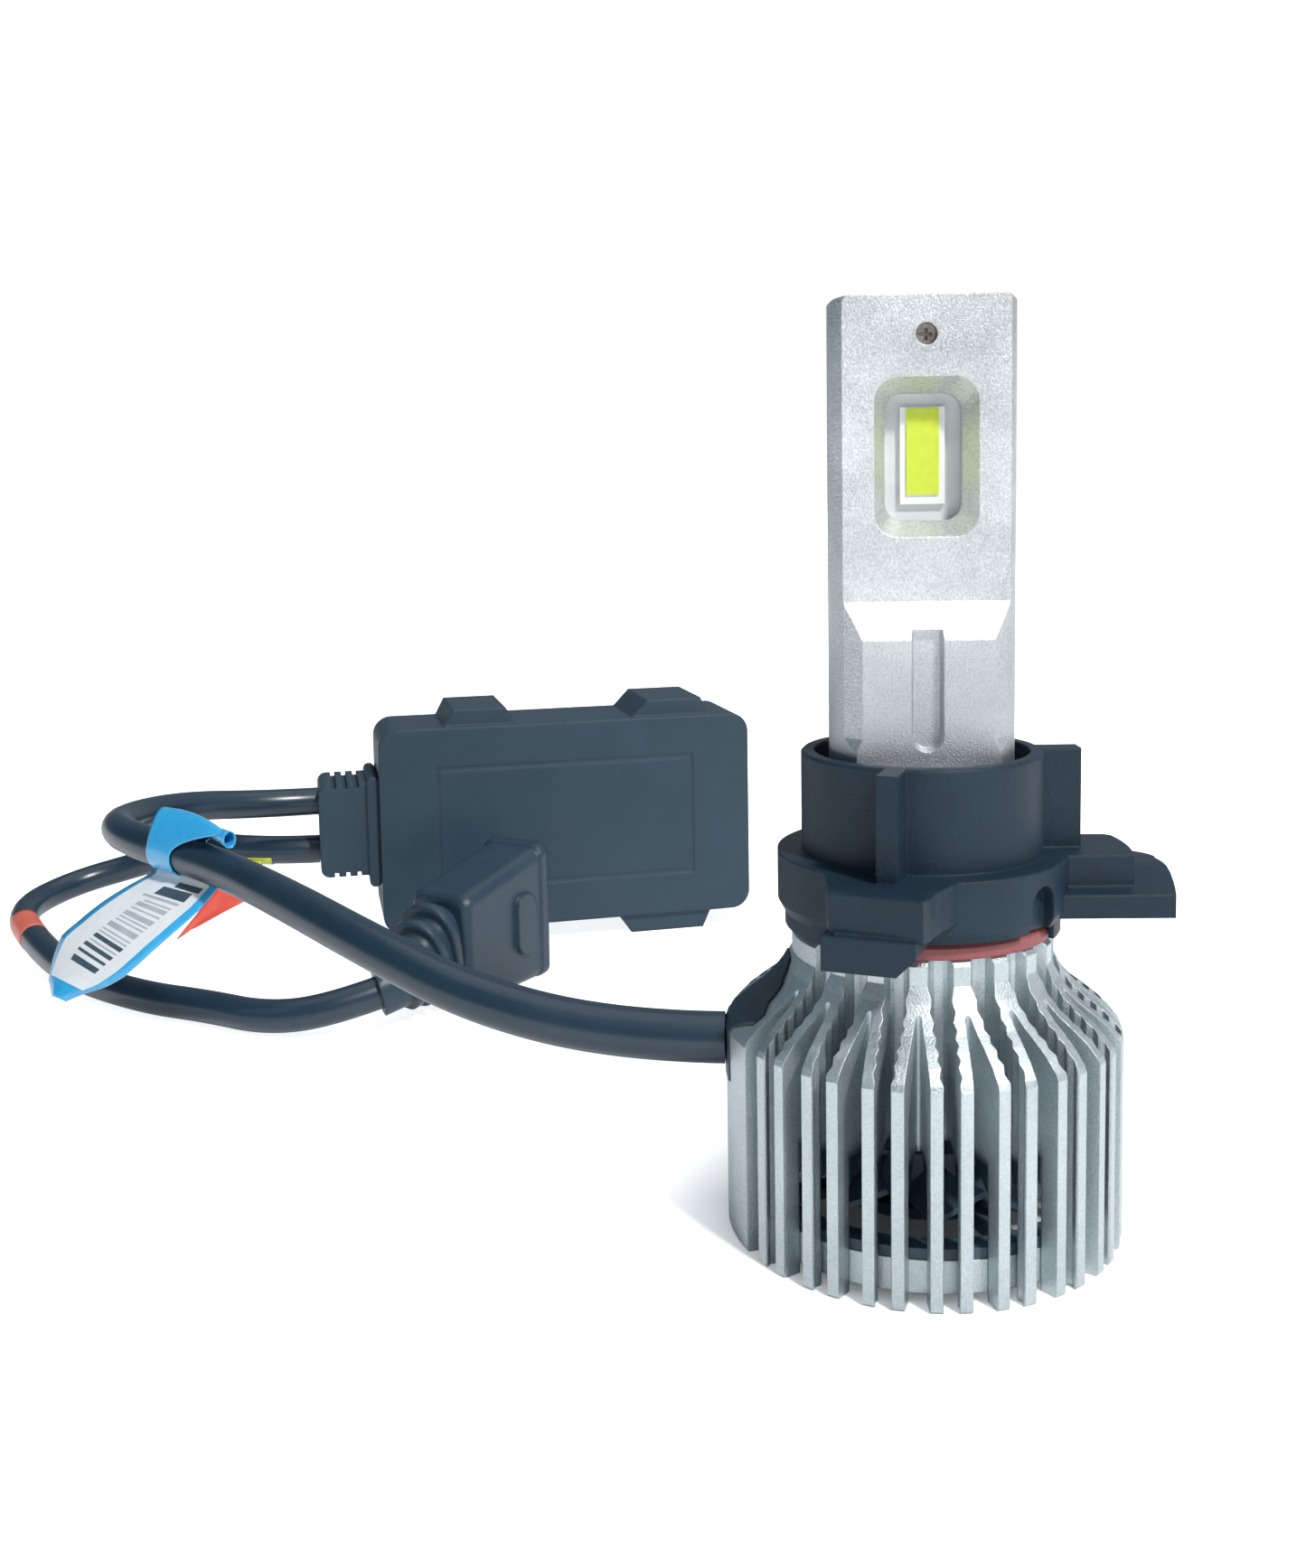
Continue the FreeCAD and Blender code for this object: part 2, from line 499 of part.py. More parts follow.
# ---------------------------------------------------------------------- fan
fz = "$retainer_top"
retainer = turned("retainer_ring", [
    ("$retainer_inner_radius", "$retainer_bottom"), ("$retainer_radius", "$retainer_bottom"),
    ("$retainer_radius", "$retainer_top"), ("$retainer_inner_radius", "$retainer_top")])
frame = turned("frame_ring", [
    ("$frame_inner_radius", fz), ("$frame_radius", fz), ("$frame_radius", fz + " + $frame_thickness"),
    ("$frame_inner_radius", fz + " + $frame_thickness")])
hub = turned("frame_hub", [
    ("$bearing_outer", fz), ("$frame_hub_radius", fz), ("$frame_hub_radius", fz + " + $frame_thickness"), ("$bearing_outer + 0.7", fz + " + $frame_thickness"),
    ("$bearing_outer + 0.7", "$bearing_top"), ("$bearing_outer", "$bearing_top")])
spokes = []
for i in range(int(V("frame_spokes"))):
    sp = Part.makeBox(V("frame_inner_radius") - V("frame_hub_radius") + 1.0, V("frame_spoke_width"), V("frame_thickness"),
                      Vector(V("frame_hub_radius") - 0.5, -V("frame_spoke_width") / 2, V("retainer_top")))
    sp.rotate(Vector(0, 0, 0), Vector(0, 0, 1), 22 + 360.0 / V("frame_spokes") * i)
    spokes.append(sp)
frame_sum = fuse("frame_sum", [frame, hub, feature("frame_spokes", spokes[0].fuse(spokes[1:]))])


def ring_of(radius, z0, z1, extra=0.0):
    out = []
    for i in range(int(V("screw_count"))):
        a = math.radians(45 + 360.0 / V("screw_count") * i)
        out.append(Part.makeCylinder(radius, z1 - z0, Vector(V("screw_circle") * math.cos(a), V("screw_circle") * math.sin(a), z0)))
    return out


screw_holes = feature("fan_screw_holes", Part.makeCompound(ring_of(V("screw_radius"), V("retainer_bottom") - 1, 5.0)))
node("fan_frame", cut("fan_frame", frame_sum, screw_holes))
screw_holes_b = feature("retainer_screw_holes", Part.makeCompound(ring_of(V("screw_radius"), V("retainer_bottom") - 1, 5.0)))
node("fan_retainer", cut("fan_retainer", retainer, screw_holes_b))
shanks = ring_of(V("screw_radius"), V("retainer_bottom") - 0.1, V("retainer_top") + V("frame_thickness"))
heads = ring_of(V("screw_head_radius"), V("retainer_bottom") - 0.5, V("retainer_bottom"))
slots = ring_of(0.28, V("retainer_bottom") - 0.6, V("retainer_bottom") - 0.25)
node("fan_screws", feature("fan_screws", Part.makeCompound([a.fuse(b).removeSplitter().cut(c) for a, b, c in zip(shanks, heads, slots)])))
node("fan_bearing", turned("fan_bearing", [
    ("$bearing_inner", "$bearing_bottom"), ("$bearing_outer", "$bearing_bottom"), ("$bearing_outer", "$bearing_top"), ("$bearing_inner", "$bearing_top")]))
node("fan_shaft", cyl("fan_shaft", "$shaft_radius", "$shaft_top - $shaft_bottom", z="$shaft_bottom"))
cup = turned("rotor_cup", [
    ("$shaft_radius", "$rotor_top - $rotor_cap"), ("$rotor_inner_radius", "$rotor_top - $rotor_cap"), ("$rotor_inner_radius", "$rotor_bottom"),
    ("$rotor_radius", "$rotor_bottom"), ("$rotor_radius", "$rotor_top"), ("$shaft_radius", "$rotor_top")])


def blades():
    out = []
    n = int(V("blade_count"))
    th = V("blade_thickness") / 2
    for i in range(n):
        secs = []
        for r, pitch_deg, sweep, half in ((V("rotor_inner_radius") + 0.1, 46.0, 0.0, 1.7), (10.0, 38.0, 6.0, 2.0), (V("blade_tip_radius"), 30.0, 14.0, 2.3)):
            a = math.radians(360.0 / n * i + sweep)
            e = Vector(math.cos(a), math.sin(a), 0)
            t = Vector(-math.sin(a), math.cos(a), 0)
            ph = math.radians(pitch_deg)
            d = t * math.cos(ph) + Vector(0, 0, 1) * math.sin(ph)
            q = t * (-math.sin(ph)) + Vector(0, 0, 1) * math.cos(ph)
            c = e * r + Vector(0, 0, (V("rotor_bottom") + V("rotor_top")) / 2)
            secs.append(Part.makePolygon([c - d * half - q * th, c + d * half - q * th, c + d * half + q * th, c - d * half + q * th, c - d * half - q * th]))
        out.append(Part.makeLoft(secs, True, True))
    return Part.makeCompound(out)


node("fan_rotor", fuse("fan_rotor", [cup, feature("rotor_blades", blades())]))
node("fan_magnet", turned("fan_magnet", [
    ("$magnet_inner_radius", "$rotor_bottom"), ("$rotor_inner_radius", "$rotor_bottom"), ("$rotor_inner_radius", "$magnet_top"), ("$magnet_inner_radius", "$magnet_top")]))
stator_core = turned("stator_core", [
    ("$bearing_outer + 0.7", "$stator_bottom"), ("$stator_radius - 1.6", "$stator_bottom"), ("$stator_radius - 1.6", "$stator_top"), ("$bearing_outer + 0.7", "$stator_top")])
teeth = []
for i in range(4):
    tooth = Part.makeBox(V("stator_radius") - V("bearing_outer") - 1.25, 1.2, V("stator_top") - V("stator_bottom") - 0.4, Vector(V("bearing_outer") + 0.85, -0.6, V("stator_bottom") + 0.2))
    shoe = Part.makeCylinder(V("stator_radius"), V("stator_top") - V("stator_bottom") - 0.4, Vector(0, 0, V("stator_bottom") + 0.2), Vector(0, 0, 1), 60).cut(
        Part.makeCylinder(V("stator_radius") - 0.6, 6, Vector(0, 0, V("stator_bottom") - 1)))
    shoe.rotate(Vector(0, 0, 0), Vector(0, 0, 1), -30)
    tooth = tooth.fuse(shoe)
    tooth.rotate(Vector(0, 0, 0), Vector(0, 0, 1), 90 * i)
    teeth.append(tooth)
node("fan_stator", fuse("fan_stator", [stator_core, feature("stator_teeth", teeth[0].fuse(teeth[1:]))]))
node("fan_pcb", turned("fan_pcb", [
    ("$bearing_outer + 0.75", "$retainer_top + $frame_thickness + 0.05"), ("$stator_radius", "$retainer_top + $frame_thickness + 0.05"),
    ("$stator_radius", "$retainer_top + $frame_thickness + 0.5"), ("$bearing_outer + 0.75", "$retainer_top + $frame_thickness + 0.5")]))

# ------------------------------------------------------------------- cables
BULB_ROUTE = [(-16.6, 0.2, 15.6), (-25.55, 0.47, 15.69), (-38.08, 2.54, 18.01), (-49.02, 9.65, 20.91), (-60.22, 20.17, 22.86),
              (-71.6, 32.95, 23.25), (-85.39, 43.53, 23.88), (-90.53, 56.12, 22.98), (-87.49, 69.64, 21.99), (-78.88, 78.46, 20.3),
              (-72.17, 80.3, 20.3)]
INPUT_ROUTE = [(-72.17, 80.3, 13.6), (-80.45, 78.02, 13.8), (-92.2, 83.3, 14.1), (-95.99, 98.45, 9.74), (-105.61, 103.65, 6.24),
               (-115.9, 99.16, 4.0), (-118.85, 88.17, 2.75), (-109.93, 74.39, 2.3), (-99.35, 61.0, 2.1), (-87.12, 52.04, 2.1),
               (-77.9, 48.6, 2.1), (-69.8, 44.3, 2.1), (-62.6, 44.1, 2.9), (-57.0, 46.6, 4.3)]


def tube(name, pts, diameter):
    """Round tube along straight runs joined by tangent arcs; each arc is 0.45 of its shorter run."""
    p = [Vector(*q) for q in pts]
    edges, radii = [], []
    here = p[0]
    for i in range(1, len(p) - 1):
        a = p[i] - p[i - 1]
        b = p[i + 1] - p[i]
        la, lb = a.Length, b.Length
        a.normalize()
        b.normalize()
        half = math.acos(max(-1.0, min(1.0, a.dot(b)))) / 2
        back = 0.45 * min(la, lb)
        radii.append(back / math.tan(half))
        s, e = p[i] - a * back, p[i] + b * back
        bis = b - a
        bis.normalize()
        mid = p[i] + bis * (radii[-1] / math.cos(half) - radii[-1])
        edges.append(Part.LineSegment(here, s).toShape())
        edges.append(Part.Arc(s, mid, e).toShape())
        here = e
    edges.append(Part.LineSegment(here, p[-1]).toShape())
    wire = Part.Wire(edges)
    first = p[1] - p[0]
    disc = Part.Wire(Part.Circle(p[0], first, diameter / 2).toShape())
    solid = wire.makePipeShell([disc], True, False)
    want = math.pi * diameter * diameter / 4 * wire.Length
    print(name, "length %.1f mm" % wire.Length, "volume ratio %.5f" % (solid.Volume / want), "radii", ["%.1f" % r for r in radii])
    if abs(solid.Volume / want - 1) > 0.01 or not solid.isValid():
        raise ValueError(name + " tube is wrong")
    return solid


node("bulb_cable", feature("bulb_cable", tube("bulb_cable", BULB_ROUTE, V("cable_diameter"))))
node("input_cable", feature("input_cable", tube("input_cable", INPUT_ROUTE, V("cable_diameter"))))

# silicone grommet that fills the sink's slot and holds the cable
plug_blank = prism([(-11.05, 1.5), (-11.05, -1.55), (-11.75, -2.85), (-11.95, -3.5), (-13.0, -4.2), (-13.35, -5.35),
                    (-14.2, -5.55), (-16.15, -3.0), (-17.0, -2.6), (-17.0, 1.5)], V("slot_floor") + 0.05, 24.0)
plug_skin = turned("grommet_skin", [
    (0, 12), ("$sink_rim_radius + 0.1", 12), ("$sink_rim_radius + 0.1", "$sink_rim_height"), (16.35, 17.85), (15.5, 18.8), (14.4, 19.75),
    (13.3, 20.55), (12.3, 21.5), (11.6, 22.45), (11.3, 23.0), (0, 23.0)])
grommet_sum = common("grommet_block", [feature("grommet_blank", plug_blank), plug_skin])
end = Vector(*BULB_ROUTE[0])
grommet_bore = feature("grommet_bore", Part.makeCylinder(V("cable_diameter") / 2, 6, end + Vector(0.0, 0, 0), Vector(-1, 0.0302, 0.01)))
node("cable_grommet", cut("cable_grommet", grommet_sum, grommet_bore))

# ------------------------------------------------------------------- driver
driver_place = Placement(Vector(V("driver_x"), V("driver_y"), 0), Rotation(Vector(0, 0, 1), V("driver_angle")))


def rounded_box(x0, x1, y0, y1, z0, z1, r):
    """Box whose four edges along y are rounded."""
    b = Part.makeBox(x1 - x0, y1 - y0, z1 - z0, Vector(x0, y0, z0))
    ed = [e for e in b.Edges if abs(abs(e.tangentAt(e.FirstParameter).y) - 1) < 1e-6]
    return b.makeFillet(r, ed)


def lug(a0, a1, b0, b1, top, t0, t1):
    """Trapezoid lug above (top) or below the box, a = base, b = crest, in driver length."""
    if top:
        z0, z1 = V("driver_top") - 0.6, V("driver_top") + V("lug_height") - 0.1
    else:
        z0, z1 = V("driver_bottom") + 0.6, 0.0
    w = Part.makePolygon([Vector(a0, t0, z0), Vector(a1, t0, z0), Vector(b1, t0, z1), Vector(b0, t0, z1), Vector(a0, t0, z0)])
    return Part.Face(w).extrude(Vector(0, t1 - t0, 0))


LUGS = [(8.5, 19.2, 10.1, 17.3, True), (34.3, 46.0, 37.2, 44.9, True), (32.75, 46.2, 34.4, 44.8, False), (8.5, 19.2, 10.1, 17.3, False)]


def shell(t0, t1, inner_t0, inner_t1, lug_t0, lug_t1):
    L, r, w = V("driver_length"), V("driver_corner"), V("driver_wall")
    zb, zt = V("driver_bottom"), V("driver_top")
    s = rounded_box(0, L, t0, t1, zb, zt, r)
    for l in LUGS:
        s = s.fuse(lug(l[0], l[1], l[2], l[3], l[4], lug_t0, lug_t1))
    s = s.removeSplitter()
    hollow = rounded_box(w, L - w, inner_t0, inner_t1, zb + w, zt - w, r - w)
    return s.cut(hollow)


split = V("driver_split")
case = shell(0, split, V("driver_wall"), split + 1, 0.6, split)
mark = Part.makeBox(36.0, 0.25, 17.0, Vector(7.5, -0.17, 8.2)).cut(Part.makeBox(34.8, 1, 15.8, Vector(8.1, -0.5, 8.8)))
case = case.cut(mark)
fil = [e for e in case.Edges if e.BoundBox.YMax < 0.02 and e.BoundBox.YMin > -0.02 and (e.BoundBox.ZMax > V("driver_top") - 3 or e.BoundBox.ZMin < V("driver_bottom") + 3 or e.BoundBox.XMin < 1 or e.BoundBox.XMax > V("driver_length") - 1)
       and not (7 < e.BoundBox.Center.x < 45 and 8 < e.BoundBox.Center.z < 26)]
node("driver_case", feature("driver_case", case, driver_place))
cover = shell(split, V("driver_depth"), split - 1, V("driver_depth") - V("driver_wall"), split, V("driver_depth") - 0.6)
wl = V("driver_wall")
lip = rounded_box(wl + 0.05, V("driver_length") - wl - 0.05, split - 1.2, split, V("driver_bottom") + wl + 0.05, V("driver_top") - wl - 0.05, 1.0).fuse(
    rounded_box(wl - 0.4, V("driver_length") - wl + 0.4, split, split + 1.0, V("driver_bottom") + wl - 0.4, V("driver_top") - wl + 0.4, 1.2))
lip = lip.cut(rounded_box(wl + 1.0, V("driver_length") - wl - 1.0, split - 2, split + 2, V("driver_bottom") + wl + 1.0, V("driver_top") - wl - 1.0, 0.6))
cover = cover.fuse(lip).removeSplitter()
relief_gap = Part.makeBox(4, 8.4, V("relief_top") - V("relief_bottom") - 3.0, Vector(-1.0, 7.0 - 4.2, V("relief_bottom") + 1.5))
node("driver_cover", feature("driver_cover", cover.cut(relief_gap), driver_place))
nodes["driver_case"].Shape = case.cut(relief_gap)
nodes["driver_case"].Placement = driver_place


def stand(shape):
    return feature("tmp", shape, driver_place)


pcb = Part.makeBox(43.5, 1.6, 21.0, Vector(5.0, 3.2, 6.0))
node("driver_pcb", stand(pcb))
nodes["driver_pcb"].Label = "driver_pcb"
cap = Part.makeCylinder(4.0, 7.0, Vector(13.0, 4.8, 11.5), Vector(0, 1, 0))
cap = cap.makeFillet(0.5, [e for e in cap.Edges if abs(e.BoundBox.YMax - 11.8) < 0.01 and abs(e.BoundBox.YMin - 11.8) < 0.01])
node("driver_capacitor", stand(cap))
core = Part.makeTorus(4.0, 2.0, Vector(25.5, 6.9, 16.5), Vector(0, 1, 0))
node("driver_inductor", stand(core))
ic = Part.makeBox(6.0, 1.5, 5.0, Vector(36.5, 4.8, 14.0))
node("driver_ic", stand(ic))

hw = V("relief_half_width")
relief = rounded_box(-V("relief_length"), 0.0, 7.0 - hw, 7.0 + hw, V("relief_bottom"), V("relief_top"), 1.2)
step = rounded_box(-1.6, 0.0, 7.0 - hw - 0.6, 7.0 + hw + 0.6, V("relief_bottom") - 1.55, V("relief_top") + 0.9, 0.75)
relief = relief.fuse(step)
for i in range(3):
    z = V("relief_top")
    relief = relief.cut(Part.makeBox(0.55, 20, 1.1, Vector(-3.2 - 1.5 * i, -4, z - 0.55)))
    relief = relief.cut(Part.makeBox(0.55, 20, 1.1, Vector(-3.2 - 1.5 * i, -4, V("relief_bottom") - 0.55)))
plug_in = Part.makeBox(2.4, 8.2, V("relief_top") - V("relief_bottom") - 3.2, Vector(-0.05, 7.0 - 4.1, V("relief_bottom") + 1.6))
node("driver_strain_relief", stand(relief.fuse(plug_in).removeSplitter()))

# --------------------------------------------------------------------- plug
plug_place = Placement(Vector(V("plug_x"), V("plug_y"), 0), Rotation(Vector(0, 0, 1), V("plug_angle")))


def long_box(x0, x1, y0, y1, z0, z1, r):
    """Box whose four edges along x are rounded."""
    b = Part.makeBox(x1 - x0, y1 - y0, z1 - z0, Vector(x0, y0, z0))
    ed = [e for e in b.Edges if abs(abs(e.tangentAt(e.FirstParameter).x) - 1) < 1e-6]
    return b.makeFillet(r, ed)


W, H, Lp, wall = V("plug_width"), V("plug_height"), V("plug_length"), V("plug_wall")
rise = (V("plug_mouth_height") - H) / Lp


def across(x, half, z0, z1, r):
    """Rounded rectangle across the plug at distance x from its cable end."""
    w = rounded_rect(half, z0, z1, r, -x)
    w.rotate(Vector(0, 0, 0), Vector(0, 0, 1), 90)
    return w


pc = V("plug_corner")
housing = Part.makeLoft([
    across(0.0, W / 2 - 0.8, 0.8, H - 0.8, pc - 0.6), across(0.25, W / 2 - 0.35, 0.35, H - 0.35 + rise * 0.25, pc - 0.25),
    across(0.9, W / 2, 0.0, H + rise * 0.9, pc), across(Lp - 1.5, W / 2, 0.0, H + rise * (Lp - 1.5), pc),
    across(Lp - 1.25, W / 2 + 0.25, 0.0, H + rise * (Lp - 1.25) + 0.25, pc), across(Lp, W / 2 + 0.25, 0.0, V("plug_mouth_height") + 0.25, pc)], True, True)
s0 = Lp - V("plug_socket_depth")
socket = Part.makeLoft([
    across(s0, W / 2 - wall, wall, H + rise * s0 - wall, 0.8), across(Lp + 1, W / 2 - wall, wall, H + rise * (Lp + 1) - wall, 0.8)], True, True)
housing = housing.cut(socket)
# raised oblong catch on the side
catch = Part.makeCylinder(1.9, 1.1, Vector(11.2, -W / 2 - 0.6, 10.1), Vector(0, 1, 0)).fuse(Part.makeCylinder(1.9, 1.1, Vector(11.2, -W / 2 - 0.6, 6.0), Vector(0, 1, 0))).fuse(
    Part.makeBox(3.8, 1.1, 4.1, Vector(9.3, -W / 2 - 0.6, 6.0)))
housing = housing.fuse(catch).removeSplitter()
tz = (7.5 - V("terminal_pitch") / 2, 7.5 + V("terminal_pitch") / 2)
cavs = [Part.makeBox(6.0, V("blade_width"), V("blade_depth"), Vector(s0 - 5.0, -V("blade_width") / 2, z - V("blade_depth") / 2)) for z in tz]
for c in cavs:
    housing = housing.cut(c)
rear_bore = long_box(-0.1, 4.0, -2.9, 2.9, H / 2 - 4.6, H / 2 + 4.6, 1.4)
housing = housing.cut(rear_bore)
node("plug_housing", feature("plug_housing", housing, plug_place))
blades_ = Part.makeCompound([Part.makeBox(V("terminal_length") + 5.0, V("blade_width"), V("blade_depth"), Vector(s0 - 5.0, -V("blade_width") / 2, z - V("blade_depth") / 2)) for z in tz])
node("plug_terminals", feature("plug_terminals", blades_, plug_place))
seal = long_box(s0, s0 + 1.4, -W / 2 + wall, W / 2 - wall, wall, H + rise * s0 - wall, 0.8)
for z in tz:
    seal = seal.cut(Part.makeBox(4, V("blade_width") + 0.5, V("blade_depth") + 0.5, Vector(s0 - 1, -V("blade_width") / 2 - 0.25, z - V("blade_depth") / 2 - 0.25)))
node("plug_seal", feature("plug_seal", seal, plug_place))

# ribbed boot: oval sections along a short curve from the housing to the cable
BOOT_END = Vector(*INPUT_ROUTE[-1])
BOOT_DIR = Vector(*INPUT_ROUTE[-1]) - Vector(*INPUT_ROUTE[-2])
BOOT_DIR.normalize()
ang = math.radians(V("plug_angle"))
plug_dir = Vector(math.cos(ang), math.sin(ang), 0)
BOOT_START = Vector(V("plug_x"), V("plug_y"), H / 2)


def boot_point(t):
    """Cubic from the cable (t=0) to the housing (t=1)."""
    p0, p3 = BOOT_END, BOOT_START
    d = (p3 - p0).Length / 3.0
    p1, p2 = p0 + BOOT_DIR * d, p3 - plug_dir * d
    a = p0 * ((1 - t) ** 3) + p1 * (3 * t * (1 - t) ** 2) + p2 * (3 * t * t * (1 - t)) + p3 * (t ** 3)
    g = (p1 - p0) * (3 * (1 - t) ** 2) + (p2 - p1) * (6 * t * (1 - t)) + (p3 - p2) * (3 * t * t)
    g.normalize()
    return a, g


def oval(t, wid, hgt):
    c, g = boot_point(t)
    side = Vector(0, 0, 1).cross(g)
    side.normalize()
    upv = g.cross(side)
    el = []
    n = 16
    pts = []
    for i in range(n):
        a = 2 * math.pi * i / n
        ca, sa = math.cos(a), math.sin(a)
        pts.append(c + side * (wid / 2 * math.copysign(abs(ca) ** 0.85, ca)) + upv * (hgt / 2 * math.copysign(abs(sa) ** 0.85, sa)))
    b = Part.BSplineCurve()
    b.interpolate(pts, PeriodicFlag=True)
    return Part.Wire(b.toShape())


def boot():
    base = Part.makeLoft([oval(0.0, 5.3, 5.5), oval(0.3, 5.6, 6.2), oval(0.62, 6.4, 8.6), oval(1.0, 7.4, 11.4)], True, False)
    for t, w, h in ((0.30, 6.6, 7.4), (0.48, 7.3, 9.2), (0.66, 8.0, 11.0), (0.85, 8.7, 12.8)):
        base = base.fuse(Part.makeLoft([oval(t - 0.04, w, h), oval(t + 0.04, w + 0.15, h + 0.25)], True, False))
    return base


node("plug_boot", feature("plug_boot", boot()))

# ------------------------------------------------------ tags on the cables
tag_axis = Vector(*BULB_ROUTE[6]) - Vector(*BULB_ROUTE[5])
tag_axis.normalize()
tag_c = Vector(*BULB_ROUTE[5]) + tag_axis * 7.4
wrap = Part.makeCylinder(V("cable_diameter") / 2 + 0.3, 9.4, tag_c - tag_axis * 4.7, tag_axis).cut(
    Part.makeCylinder(V("cable_diameter") / 2, 11.0, tag_c - tag_axis * 5.5, tag_axis))
TAIL = [(-81.0, 39.9, 21.8), (-75.4, 35.6, 21.8), (-84.6, 31.0, 8.6), (-88.8, 31.6, 5.4), (-92.4, 33.6, 5.2), (-93.4, 35.6, 8.4)]


def plate(pts, thick):
    """Flat sheet through the mean plane of the points."""
    p = [Vector(*q) for q in pts]
    c = Vector(0, 0, 0)
    for q in p:
        c = c + q
    c = c * (1.0 / len(p))
    nrm = Vector(0, 0, 0)
    for i in range(len(p)):
        nrm = nrm + (p[i] - c).cross(p[(i + 1) % len(p)] - c)
    nrm.normalize()
    flat = [q - nrm * ((q - c).dot(nrm)) - nrm * (thick / 2) for q in p]
    return Part.Face(Part.makePolygon(flat + [flat[0]])).extrude(nrm * thick)


node("wire_tag", feature("wire_tag", wrap.fuse(plate(TAIL, 0.4)).removeSplitter()))
fa = Vector(-0.997, 0.077, 0.0)
fa.normalize()
fc = Vector(-80.0, 79.22, 13.78)
flag_wrap = Part.makeCylinder(V("cable_diameter") / 2 + 0.3, 2.6, fc - fa * 1.3, fa).cut(Part.makeCylinder(V("cable_diameter") / 2, 4.0, fc - fa * 2, fa))
FLAG = [(-79.2, 76.9, 13.2), (-81.2, 77.0, 13.4), (-86.9, 76.9, 8.6), (-91.6, 77.0, 2.2), (-88.2, 77.0, 4.0), (-82.4, 77.0, 7.2)]
node("tag_flag", feature("tag_flag", flag_wrap.fuse(plate(FLAG, 0.3)).removeSplitter()))
ba = Vector(*INPUT_ROUTE[7]) - Vector(*INPUT_ROUTE[6])
ba.normalize()
bc = Vector(*INPUT_ROUTE[6]) + ba * 8.0
node("red_band", feature("red_band", Part.makeCylinder(V("cable_diameter") / 2 + 0.15, 3.2, bc - ba * 1.6, ba).cut(
    Part.makeCylinder(V("cable_diameter") / 2 - 0.0, 5.0, bc - ba * 2.5, ba))))

doc.recompute()
bad = [o.Name for o in doc.Objects if "Invalid" in o.State or "Error" in o.State]
if bad:
    raise RuntimeError("failed objects: " + ", ".join(bad))
for name, obj in nodes.items():
    if obj.Shape.isNull() or not obj.Shape.isValid() or obj.Shape.Volume <= 0:
        raise RuntimeError(name + " has no sound shape")
os.makedirs("parts", exist_ok=True)
for name, obj in nodes.items():
    obj.Label = name
    obj.Shape.exportStep("parts/" + name + ".step")
    bb = obj.Shape.BoundBox
    print("%-22s solids %d faces %4d vol %9.2f  x %.1f..%.1f y %.1f..%.1f z %.2f..%.2f" % (
        name, len(obj.Shape.Solids), len(obj.Shape.Faces), obj.Shape.Volume, bb.XMin, bb.XMax, bb.YMin, bb.YMax, bb.ZMin, bb.ZMax))
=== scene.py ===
import bpy
import bmesh
import math
from mathutils import Matrix, Vector


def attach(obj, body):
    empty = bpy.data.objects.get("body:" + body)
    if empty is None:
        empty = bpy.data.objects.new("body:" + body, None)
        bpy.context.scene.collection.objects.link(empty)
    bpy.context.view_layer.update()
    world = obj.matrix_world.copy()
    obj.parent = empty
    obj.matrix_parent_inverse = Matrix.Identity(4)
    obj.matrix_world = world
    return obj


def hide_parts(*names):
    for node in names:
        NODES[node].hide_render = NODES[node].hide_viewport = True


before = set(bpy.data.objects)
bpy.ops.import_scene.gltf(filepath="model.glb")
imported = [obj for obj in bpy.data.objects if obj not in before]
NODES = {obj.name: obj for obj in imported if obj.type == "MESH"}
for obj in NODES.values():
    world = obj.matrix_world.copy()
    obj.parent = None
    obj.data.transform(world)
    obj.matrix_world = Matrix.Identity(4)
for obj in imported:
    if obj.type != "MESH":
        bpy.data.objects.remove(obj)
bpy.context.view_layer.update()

MM = 0.001
scene = bpy.context.scene

# ------------------------------------------------------------------ camera
cam_data = bpy.data.cameras.new("camera")
cam_data.sensor_width = 36.0
cam_data.lens = 35.643
cam_data.shift_x = -0.00775
cam_data.shift_y = -0.0897
cam_data.clip_start = 0.005
cam_data.clip_end = 30.0
cam = bpy.data.objects.new("camera", cam_data)
scene.collection.objects.link(cam)
RGT = Vector((0.99928528, 0.03392630, -0.01667125))
UPP = Vector((0.01320257, 0.10001281, 0.99489855))
FWD = Vector((-0.03542057, 0.99440758, -0.09949342))
cam.matrix_world = Matrix((
    (RGT.x, UPP.x, -FWD.x, -0.01659065),
    (RGT.y, UPP.y, -FWD.y, -0.12844295),
    (RGT.z, UPP.z, -FWD.z, 0.06234),
    (0, 0, 0, 1)))
scene.camera = cam


